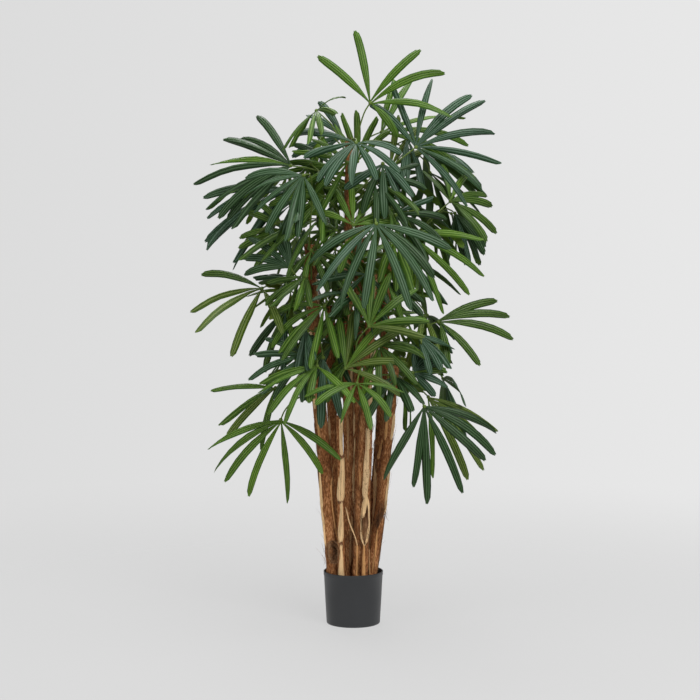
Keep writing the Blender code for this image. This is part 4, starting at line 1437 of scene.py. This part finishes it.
def make_strips():
    batches = {finish: Batch() for finish in STRAWS}
    for number, ribbon in enumerate(RIBBONS):
        add_ribbon(batches[ribbon.finish], ribbon, random.Random(f"ribbon_{number}"))
    chance = random.Random(STRIP_SEED)
    for strip in STRIPS:
        angles = [-math.acos(across) for across in (strip.low_across, strip.high_across)]
        stem = STEMS[strip.stem]
        add_strip(batches[strip.finish], stem, angles, strip.foot, strip.top, strip.width, chance, 1.0)
    for name, stem in STEMS.items():
        if name in CANE_NODES:
            continue
        for _ in range(REAR_STRIPS):
            angle = chance.uniform(REAR_SIDE, math.pi - REAR_SIDE)
            foot = chance.uniform(FILL_TOP + REAR_FOOT, stem.top - REAR_SPARE[0])
            top = min(foot + chance.uniform(*REAR_LENGTH), stem.top - REAR_SPARE[1])
            batch = batches[chance.choice(REAR_FINISHES)]
            angles = (angle, angle + chance.uniform(-REAR_LEAN, REAR_LEAN))
            add_strip(batch, stem, angles, foot, top, chance.uniform(*REAR_WIDTH), chance)
    finish_straws("splint", batches)


# Sleeves: pale sheaths round the thin canes, as rows of (height, left edge, right edge) from the foot up
Sleeve = namedtuple("Sleeve", "stem finish rows")
SLEEVES = (
    Sleeve("pale_left", "straw", (
        (0.523, -0.0416, -0.0300), (0.565, -0.0434, -0.0315), (0.630, -0.0440, -0.0303),
    )),
    Sleeve("pale_left", "straw", (
        (0.381, -0.0471, -0.0297), (0.397, -0.0500, -0.0260), (0.445, -0.0466, -0.0250),
        (0.512, -0.0420, -0.0265),
    )),
    Sleeve("pale_left", "straw", (
        (0.258, -0.0445, -0.0316), (0.276, -0.0465, -0.0283), (0.345, -0.0420, -0.0300),
        (0.378, -0.0402, -0.0315),
    )),
    Sleeve("pale_left", "straw", (
        (0.146, -0.0468, -0.0272), (0.203, -0.0432, -0.0300), (0.251, -0.0402, -0.0323),
    )),
    Sleeve("pale_right", "speckled", (
        (0.394, 0.0274, 0.0432), (0.409, 0.0256, 0.0458), (0.475, 0.0297, 0.0503),
        (0.550, 0.0357, 0.0514), (0.600, 0.0371, 0.0516),
    )),
    Sleeve("pale_right", "straw", (
        (0.338, 0.0268, 0.0330), (0.352, 0.0262, 0.0400), (0.375, 0.0288, 0.0448),
        (0.400, 0.0330, 0.0432),
    )),
    Sleeve("pale_right", "tan", (
        (0.146, 0.0252, 0.0373), (0.203, 0.0263, 0.0366), (0.247, 0.0292, 0.0347),
    )),
    Sleeve("pale_left", "brown", ((0.512, -0.0428, -0.0268), (0.521, -0.0424, -0.0282))),
    Sleeve("pale_left", "brown", ((0.376, -0.0450, -0.0300), (0.384, -0.0460, -0.0302))),
    Sleeve("pale_left", "brown", ((0.249, -0.0425, -0.0310), (0.260, -0.0446, -0.0308))),
)
SLEEVE_SIDES = 28
SLEEVE_STEP = 0.005
SLEEVE_DEPTH = 0.75
SLEEVE_OFF = 0.0016
SLEEVE_RAG = 0.011
SLEEVE_RAG_NOISE = (6.5, 90.0)
SLEEVE_RIB = 0.09
SLEEVE_RIB_NOISE = (7.0, 9.0)
SLEEVE_ENDS = ((0.0000, 0.82), (0.0006, 0.94), (0.0020, 0.99))
SLEEVE_CREASE = 60.0


def sleeve_stations(foot, top):
    """(height, share of the width) up a sleeve, drawn in at both ends."""
    low = [(foot + off, share) for off, share in SLEEVE_ENDS]
    high = [(top - off, share) for off, share in reversed(SLEEVE_ENDS)]
    count = max(int((top - foot) / SLEEVE_STEP), 3)
    gap = SLEEVE_ENDS[-1][0]
    middle = [(lerp(foot + gap, top - gap, i / count), 1.0) for i in range(1, count)]
    return low + middle + high


def sleeve_ring(stem, left, right, height, share, foot):
    """One ring of a sleeve, ribbed, and uneven in height where it is an end's."""
    half = (right - left) / 2 * share
    front = stem_axis(stem, height).y - stem_radius(stem, height) - SLEEVE_OFF
    centre = Vector(((left + right) / 2, front + (right - left) / 2 * SLEEVE_DEPTH, height))
    ring = []
    for j in range(SLEEVE_SIDES):
        out = spoke(math.tau * j / SLEEVE_SIDES)
        rag = grain(out, SLEEVE_RAG_NOISE[0], foot * SLEEVE_RAG_NOISE[1]) if share < 1.0 else 0.0
        ribs = 1.0 + SLEEVE_RIB * grain(out, SLEEVE_RIB_NOISE[0], height * SLEEVE_RIB_NOISE[1])
        ring.append(centre + Vector((
            out.x * half * ribs, out.y * half * SLEEVE_DEPTH * ribs, SLEEVE_RAG * rag,
        )))
    return ring


def make_sleeves():
    batches = {finish: Batch() for finish in STRAWS}
    for sleeve in SLEEVES:
        foot, top = sleeve.rows[0][0], sleeve.rows[-1][0]
        lefts = [(height, left) for height, left, _ in sleeve.rows]
        rights = [(height, right) for height, _, right in sleeve.rows]
        rings = []
        for height, share in sleeve_stations(foot, top):
            left, right = read_curve(lefts, height), read_curve(rights, height)
            rings.append(sleeve_ring(STEMS[sleeve.stem], left, right, height, share, foot))
        batches[sleeve.finish].add(*loft(rings))
    finish_straws("sleeve", batches, SLEEVE_CREASE)


# Loose fibres
HAIRS = 110
CANE_HAIRS = 22
HAIR_SEED = 23
HAIR_RADIUS = 0.00042
HAIR_LENGTH = (0.02, 0.07)
HAIR_ROOM = (0.005, 0.06)
HAIR_SWAY = 0.25
HAIR_OUT = (0.0, 0.10)
HAIR_STEPS = 4
HAIR_CURL = 0.5
HAIR_LIFT = (0.0, 0.35)
HAIR_OFF = 0.0006
THINNING = 0.6
TIP_HAIRS = 26
TIP_DEPTH = (0.012, 0.03)
TIP_SPLAY = (-0.5, 0.35)
TIP_LENGTH = (0.015, 0.035)
TIP_THICK = 1.5
HAIR_CREASE = 80.0

# Frayed places: the stem, the share of its radius across, heights and the number of hairs
FRAYS = (
    ("left", 0.1, 0.190, 0.250, 40),
    ("pale_right", 0.0, 0.240, 0.330, 24),
    ("right", 0.9, 0.335, 0.356, 22),
    ("centre", 0.6, 0.225, 0.330, 40),
    ("centre_right", -0.4, 0.200, 0.420, 60),
)
FRAY_ROUND = 0.9
FRAY_LEAN = 1.1
FRAY_LENGTH = (0.018, 0.045)
FRAY_THICK = 1.4

# Strands on the clump's front, placed as (x, z): a split sheath, loops and cross strands
FRONT_SEED = 5
SPLIT_TOP = (Vector((0.0300, 0.375)), Vector((0.0430, 0.375)))
SPLIT_WIDE = (Vector((0.0270, 0.315)), Vector((0.0450, 0.315)))
SPLIT_FOOT = Vector((0.0336, 0.250))
SPLIT_FOOT_RANGE = (0.003, 0.022)
SPLIT_WAIST = (0.45, 0.8)
SPLIT_OFF = (0.0004, 0.0022)
SPLIT_RADIUS = 0.0006
SPLIT_HAIRS = 80
LOOP_CENTRE = (-0.0625, 0.224)
LOOP_REACH = ((0.008, 0.021), (0.014, 0.039))
LOOP_SWEEP = (1.2, 4.0)
LOOP_SHIFT = 0.006
LOOP_OFF = (0.0010, 0.0040)
LOOP_RADIUS = 0.0010
LOOP_CORNERS = 6
LOOPS = 34
STRAND_POINTS = 9
STRAND_SIDES = 4
STRAND_ENDS = 0.55
BRACE_ENDS = (Vector((0.0660, 0.300)), Vector((0.0900, 0.352)))
BRACE_SHIFT = (0.008, 0.012)
BRACE_BEND = 0.006
BRACE_OFF = (0.0010, 0.0028)
BRACE_RADIUS = 0.0007
BRACES = 22
FIBRE_SHADES = {
    "dark": ((0.036, 0.014, 0.006), (0.130, 0.055, 0.023), (0.24, 0.115, 0.052)),
    "pale": ((0.120, 0.060, 0.028), (0.260, 0.140, 0.070), (0.38, 0.23, 0.12)),
}
FIBRE_STRETCH = 0.2
FIBRE_GRAIN = 60.0
FIBRE_DEPTH = 0.0002


def either_way(chance, most):
    return chance.uniform(-most, most)


def add_hair(batch, place, way, out, length, chance, thick=1.0):
    """A bent strand, three-sided, thinning to its end."""
    side = way.cross(out).normalized()
    curl = either_way(chance, HAIR_CURL)
    lift = chance.uniform(*HAIR_LIFT)
    points = []
    radii = []
    for i in range(HAIR_STEPS):
        t = i / (HAIR_STEPS - 1)
        thin = 1.0 - THINNING * t
        points.append(place + (way * t + side * (curl * t * t) + out * (lift * t * thin)) * length)
        radii.append(HAIR_RADIUS * thick * thin)
    add_tube(batch, points, radii, 3)


def surface_at(stem, height, angle):
    out = spoke(angle)
    return stem_axis(stem, height) + out * (stem_radius(stem, height) + HAIR_OFF), out


def add_strand(batch, line, off, radius):
    """A strand laid on the front of the clump through (x, z) points."""
    shares = [i / (STRAND_POINTS - 1) for i in range(STRAND_POINTS)]
    radii = [radius * fullest_midway(STRAND_ENDS, share) for share in shares]
    add_tube(batch, laid_on(line, STRAND_POINTS, off), radii, STRAND_SIDES)


def add_front_frays(dark, pale):
    """The right cane's split sheath, loops at the left stem's foot and cross strands on the right stem."""
    chance = random.Random(FRONT_SEED)
    for _ in range(SPLIT_HAIRS):
        share = chance.random()
        top, wide = SPLIT_TOP[0].lerp(SPLIT_TOP[1], share), SPLIT_WIDE[0].lerp(SPLIT_WIDE[1], share)
        across = either_way(chance, SPLIT_FOOT_RANGE[0])
        foot = SPLIT_FOOT + Vector((across, chance.uniform(0.0, SPLIT_FOOT_RANGE[1])))
        low = foot.lerp(wide, chance.uniform(*SPLIT_WAIST))
        batch = chance.choice((dark, dark, pale))
        line = (foot, low, wide, top.lerp(wide, chance.random()))
        add_strand(batch, line, chance.uniform(*SPLIT_OFF), SPLIT_RADIUS)
    for _ in range(LOOPS):
        wide, high = (chance.uniform(*reach) for reach in LOOP_REACH)
        start, sweep = chance.uniform(0, math.tau), chance.uniform(*LOOP_SWEEP)
        shift = either_way(chance, LOOP_SHIFT)
        line = []
        for i in range(LOOP_CORNERS):
            angle = start + sweep * i / (LOOP_CORNERS - 1)
            across = LOOP_CENTRE[0] + shift + wide * math.cos(angle)
            line.append((across, LOOP_CENTRE[1] + high * math.sin(angle)))
        batch = chance.choice((dark, pale, pale))
        add_strand(batch, line, chance.uniform(*LOOP_OFF), LOOP_RADIUS)
    for _ in range(BRACES):
        drop = Vector([either_way(chance, most) for most in BRACE_SHIFT])
        low, high = (end + drop for end in BRACE_ENDS)
        bend = low.lerp(high, 0.5) + Vector((0.0, either_way(chance, BRACE_BEND)))
        batch = chance.choice((dark, pale))
        add_strand(batch, (low, bend, high), chance.uniform(*BRACE_OFF), BRACE_RADIUS)


def make_fibres():
    dark, pale = Batch(), Batch()
    add_front_frays(dark, pale)
    chance = random.Random(HAIR_SEED)
    for name, stem in STEMS.items():
        for _ in range(CANE_HAIRS if name in CANE_NODES else HAIRS):
            height = chance.uniform(FILL_TOP + HAIR_ROOM[0], stem.top - HAIR_ROOM[1])
            place, out = surface_at(stem, height, chance.uniform(0, math.tau))
            sway = UP.cross(out) * either_way(chance, HAIR_SWAY)
            way = (UP + sway + out * chance.uniform(*HAIR_OUT)).normalized()
            batch = chance.choice((dark, dark, pale))
            add_hair(batch, place, way, out, chance.uniform(*HAIR_LENGTH), chance)
        for _ in range(TIP_HAIRS):
            height = stem.top - chance.uniform(*TIP_DEPTH)
            place, out = surface_at(stem, height, chance.uniform(0, math.tau))
            way = (UP + out * chance.uniform(*TIP_SPLAY)).normalized()
            length = chance.uniform(*TIP_LENGTH)
            add_hair(dark, place - out * MM, way, out, length, chance, TIP_THICK)
    for name, across, foot, top, count in FRAYS:
        for _ in range(count):
            angle = -math.acos(across) + either_way(chance, FRAY_ROUND)
            place, out = surface_at(STEMS[name], chance.uniform(foot, top), angle)
            lean = either_way(chance, FRAY_LEAN)
            way = (UP * chance.choice((1, -1)) + UP.cross(out) * lean).normalized()
            batch = chance.choice((dark, pale))
            length = chance.uniform(*FRAY_LENGTH)
            add_hair(batch, place + out * MM, way, out, length, chance, FRAY_THICK)
    for shade, batch in (("dark", dark), ("pale", pale)):
        name = f"fibres_{shade}"
        made = fibre_material(name, FIBRE_SHADES[shade], FIBRE_STRETCH, FIBRE_GRAIN, FIBRE_DEPTH)
        batch.piece(name, "stem_fibre", [made], sharp=HAIR_CREASE)


# The one long straw that lies across the stems
STRAW_FOOT = Vector((0.0116, -0.072, 0.2500))
STRAW_TOP = Vector((-0.0250, -0.060, 0.363))
STRAW_RADIUS = 0.0019
STRAW_JOINTS = 8
STRAW_SIDES = 6
STRAW_ENDS = 0.7
STRAW_WANDER = 0.0015
STRAW_SPECKS = 0.25


def make_straw():
    batch = Batch()
    points = []
    radii = []
    for i in range(STRAW_JOINTS + 1):
        share = i / STRAW_JOINTS
        shift = Vector((STRAW_WANDER * math.sin(i), 0.0, 0.0))
        points.append(STRAW_FOOT.lerp(STRAW_TOP, share) + shift)
        radii.append(STRAW_RADIUS * fullest_midway(STRAW_ENDS, share))
    add_tube(batch, points, radii, STRAW_SIDES)
    made = straw_material("loose_straw", STRAWS["straw"][0], STRAW_SPECKS)
    batch.piece("loose_straw", "sheath_straw", [made])


# Pot and fill, with the rim's corners as (out, up) from the inner edge, the outer edge and the band
POT_SIDES = 128
POT_CREASE = 35
POT_BAND = 0.012
POT_MIDDLE = 0.08
POT_BOTTOM = 0.004
RIM_INSIDE = ((-0.0006, -0.0022), (0.0, -0.0006), (0.0007, 0.0))
RIM_OUTSIDE = ((-0.0008, 0.0), (0.0, -0.0008))
BAND_FOOT = ((0.0006, 0.0006), (0.0002, 0.0), (-0.0005, -0.0010))
FOOT_ROUND = 0.004
FOOT_STEPS = 6
BASE_LIFT = 0.0010
BASE_RING = 0.006
PLUG_SIDES = 96
PLUG_RINGS = 22
PLUG_FOOT = 0.006
PLUG_TOP = FILL_TOP - 0.004
PLUG_EDGE = FILL_TOP - 0.005

# The filling's crumbs, as (height, scale)
CRUMBS = ((0.0035, 110.0), (0.002, 320.0))


def spun(name, profile, sides):
    """A profile of (radius, height) points, drawn by extrusion and spun about Z, closed on the axis."""
    bpy.ops.object.select_all(action="DESELECT")
    mesh = bpy.data.meshes.new(name)
    obj = put(name, mesh)
    mesh.from_pydata([(radius, 0.0, height) for radius, height in profile],
                     [(i, i + 1) for i in range(len(profile) - 1)], [])
    bpy.context.view_layer.objects.active = obj
    obj.select_set(True)
    bpy.ops.object.mode_set(mode="EDIT")
    bpy.ops.mesh.select_all(action="SELECT")
    bpy.ops.mesh.spin(steps=sides, angle=math.tau, center=(0, 0, 0), axis=(0, 0, 1))
    bpy.ops.mesh.select_all(action="SELECT")
    bpy.ops.mesh.remove_doubles(threshold=WELD)
    bpy.ops.mesh.normals_make_consistent(inside=False)
    bpy.ops.object.mode_set(mode="OBJECT")
    return obj


def pot_radius(height):
    return lerp(FOOT_RADIUS, RIM_RADIUS, height / POT_HEIGHT)


def make_pot():
    band = POT_HEIGHT - POT_BAND
    inner = RIM_RADIUS - POT_WALL
    foot_side = pot_radius(FOOT_ROUND)
    profile = [(0.0, POT_BOTTOM), (pot_radius(POT_BOTTOM) - POT_WALL, POT_BOTTOM)]
    profile += [(inner + out, POT_HEIGHT + up) for out, up in RIM_INSIDE]
    profile += [(RIM_RADIUS + out, POT_HEIGHT + up) for out, up in RIM_OUTSIDE]
    profile += [(pot_radius(band) + out, band + up) for out, up in BAND_FOOT]
    profile.append((pot_radius(POT_MIDDLE), POT_MIDDLE))
    for i in range(FOOT_STEPS + 1):
        angle = math.pi / 2 * i / FOOT_STEPS
        out = foot_side - FOOT_ROUND + FOOT_ROUND * math.cos(angle)
        profile.append((out, FOOT_ROUND - FOOT_ROUND * math.sin(angle)))
    ring = foot_side - FOOT_ROUND - BASE_RING
    profile += [(ring, 0.0), (ring - BASE_LIFT, BASE_LIFT), (0.0, BASE_LIFT)]
    obj = spun("pot_shell", profile, POT_SIDES)
    coat(obj.data, POT_CREASE, pot_material())
    finish_piece(obj, "pot_plastic", "pot")


def make_fill():
    """The packing in the pot: a crumbly top on a plain plug."""
    side = pot_radius(FILL_TOP) - POT_WALL - GAP
    low_side = pot_radius(PLUG_FOOT) - POT_WALL - GAP
    profile = [(side * i / PLUG_RINGS, PLUG_TOP) for i in range(PLUG_RINGS)]
    profile += [(side - GAP, PLUG_EDGE), (low_side, PLUG_FOOT), (0.0, PLUG_FOOT)]
    obj = spun("pot_packing", profile, PLUG_SIDES)
    for vert in obj.data.vertices:
        if vert.co.z > (PLUG_TOP + PLUG_EDGE) / 2:
            vert.co.z += sum(size * noise.noise(vert.co * scale) for size, scale in CRUMBS)
    obj.data.shade_smooth()
    obj.data.materials.append(fill_material())
    finish_piece(obj, "pot_fill", "fill")


# Stage, light and camera
EYE = Vector((-0.01, -5.5, 1.233))
AIM = Vector((-0.01, 0.0, 0.830))
VIEW_ANGLE = 21.61
FLOOR_SIZE = 40.0
FLOOR_SURFACE = (0.9, 0.1)
FLOOR_COLOUR = (0.13, 0.13, 0.13)
FLOOR_GLOW = 0.542
FLOOR_FADE = (0.4, 3.2)
BACKDROP = 0.760
# The backdrop's painted light: lighter to the right and darker to the left by this much
BACKDROP_SIDE_LIGHT = 0.045
OVERHEAD = 0.60
BAND = (0.17, 0.45)
SIDE_BAND = (-0.2, 0.2)
AMBIENT = 0.31

# Square area lights: where each stands, what it looks at, its size and its power
Light = namedtuple("Light", "name place aim size power")
LIGHTS = (
    Light("key", (2.0, -3.4, 3.4), (0, 0, 0.8), 2.6, 142.0),
    Light("fill", (-3.0, -3.0, 2.2), (0, 0, 0.7), 3.0, 52.0),
    Light("top", (0.2, -0.2, 4.4), (0, 0, 1.0), 2.6, 84.0),
    Light("back", (-0.6, 3.0, 4.2), (0, 0, 0.9), 2.2, 75.0),
)


def look_from(obj, place, aim):
    """Sets the object at this place, so that it looks at the aim."""
    obj.location = place
    obj.rotation_euler = (Vector(aim) - Vector(place)).to_track_quat("-Z", "Y").to_euler()


def make_camera():
    data = bpy.data.cameras.new("camera")
    data.lens_unit = "FOV"
    data.angle = math.radians(VIEW_ANGLE)
    obj = put("camera", data)
    look_from(obj, EYE, AIM)
    bpy.context.scene.camera = obj


def make_light(light):
    data = bpy.data.lights.new(light.name, "AREA")
    data.shape = "RECTANGLE"
    data.size = data.size_y = light.size
    data.energy = light.power
    look_from(put(light.name, data), light.place, light.aim)


def make_floor():
    """A pale floor that fades into the backdrop with distance."""
    bpy.ops.object.select_all(action="DESELECT")
    bpy.ops.mesh.primitive_plane_add(size=FLOOR_SIZE)
    floor = bpy.context.object
    floor.name = "floor"
    made, tree, shader = new_material("floor", *FLOOR_SURFACE)
    shader.inputs["Base Color"].default_value = (*FLOOR_COLOUR, 1.0)
    shader.inputs["Emission Color"].default_value = (*WHITE, 1.0)
    shader.inputs["Emission Strength"].default_value = FLOOR_GLOW
    source = tree.nodes.new("ShaderNodeTexCoord").outputs["Object"]
    length = node_of(tree, "VectorMath", source, 0, {})
    length.operation = "LENGTH"
    fade = range_of(tree, length.outputs["Value"], 1.0, 0.0, FLOOR_FADE)
    fade.node.interpolation_type = "SMOOTHSTEP"
    tree.links.new(fade, shader.inputs["Alpha"])
    floor.data.materials.append(made)


def make_world():
    """A pale backdrop all round at eye level, seen a little lighter to the right as painted light from the
    key lamp's side, and a darker studio overhead.
    """
    world = bpy.data.worlds.new("studio")
    world.use_nodes = True
    tree = world.node_tree
    background = tree.nodes["Background"]
    source = tree.nodes.new("ShaderNodeTexCoord").outputs["Generated"]
    way = node_of(tree, "SeparateXYZ", source, "Vector", {}).outputs
    rise = range_of(tree, way["Z"], BACKDROP, OVERHEAD, BAND)
    across = range_of(tree, way["X"], -BACKDROP_SIDE_LIGHT, BACKDROP_SIDE_LIGHT, SIDE_BAND)
    add = node_of(tree, "Math", rise, 0, {})
    tree.links.new(across, add.inputs[1])
    tree.links.new(add.outputs["Value"], background.inputs["Color"])
    seen = tree.nodes.new("ShaderNodeLightPath").outputs["Is Camera Ray"]
    strength = range_of(tree, seen, AMBIENT, 1.0, (0.0, 1.0))
    tree.links.new(strength, background.inputs["Strength"])
    bpy.context.scene.world = world
    bpy.context.scene.view_settings.view_transform = "Standard"


def main():
    make_camera()
    make_floor()
    make_world()
    for light in LIGHTS:
        make_light(light)
    crown, space, woods = grow()
    inner = grow_inner(space, woods)
    make_leaves(crown, inner)
    make_petioles(crown, inner)
    bark = fibre_material("bark", BARK_SHADES, BARK_STRETCH, BARK_GRAIN, BARK_DEPTH)
    for name, stem in STEMS.items():
        make_stem_piece(name, stem, bark)
    make_strips()
    make_sleeves()
    make_fibres()
    make_straw()
    make_pot()
    make_fill()


main()
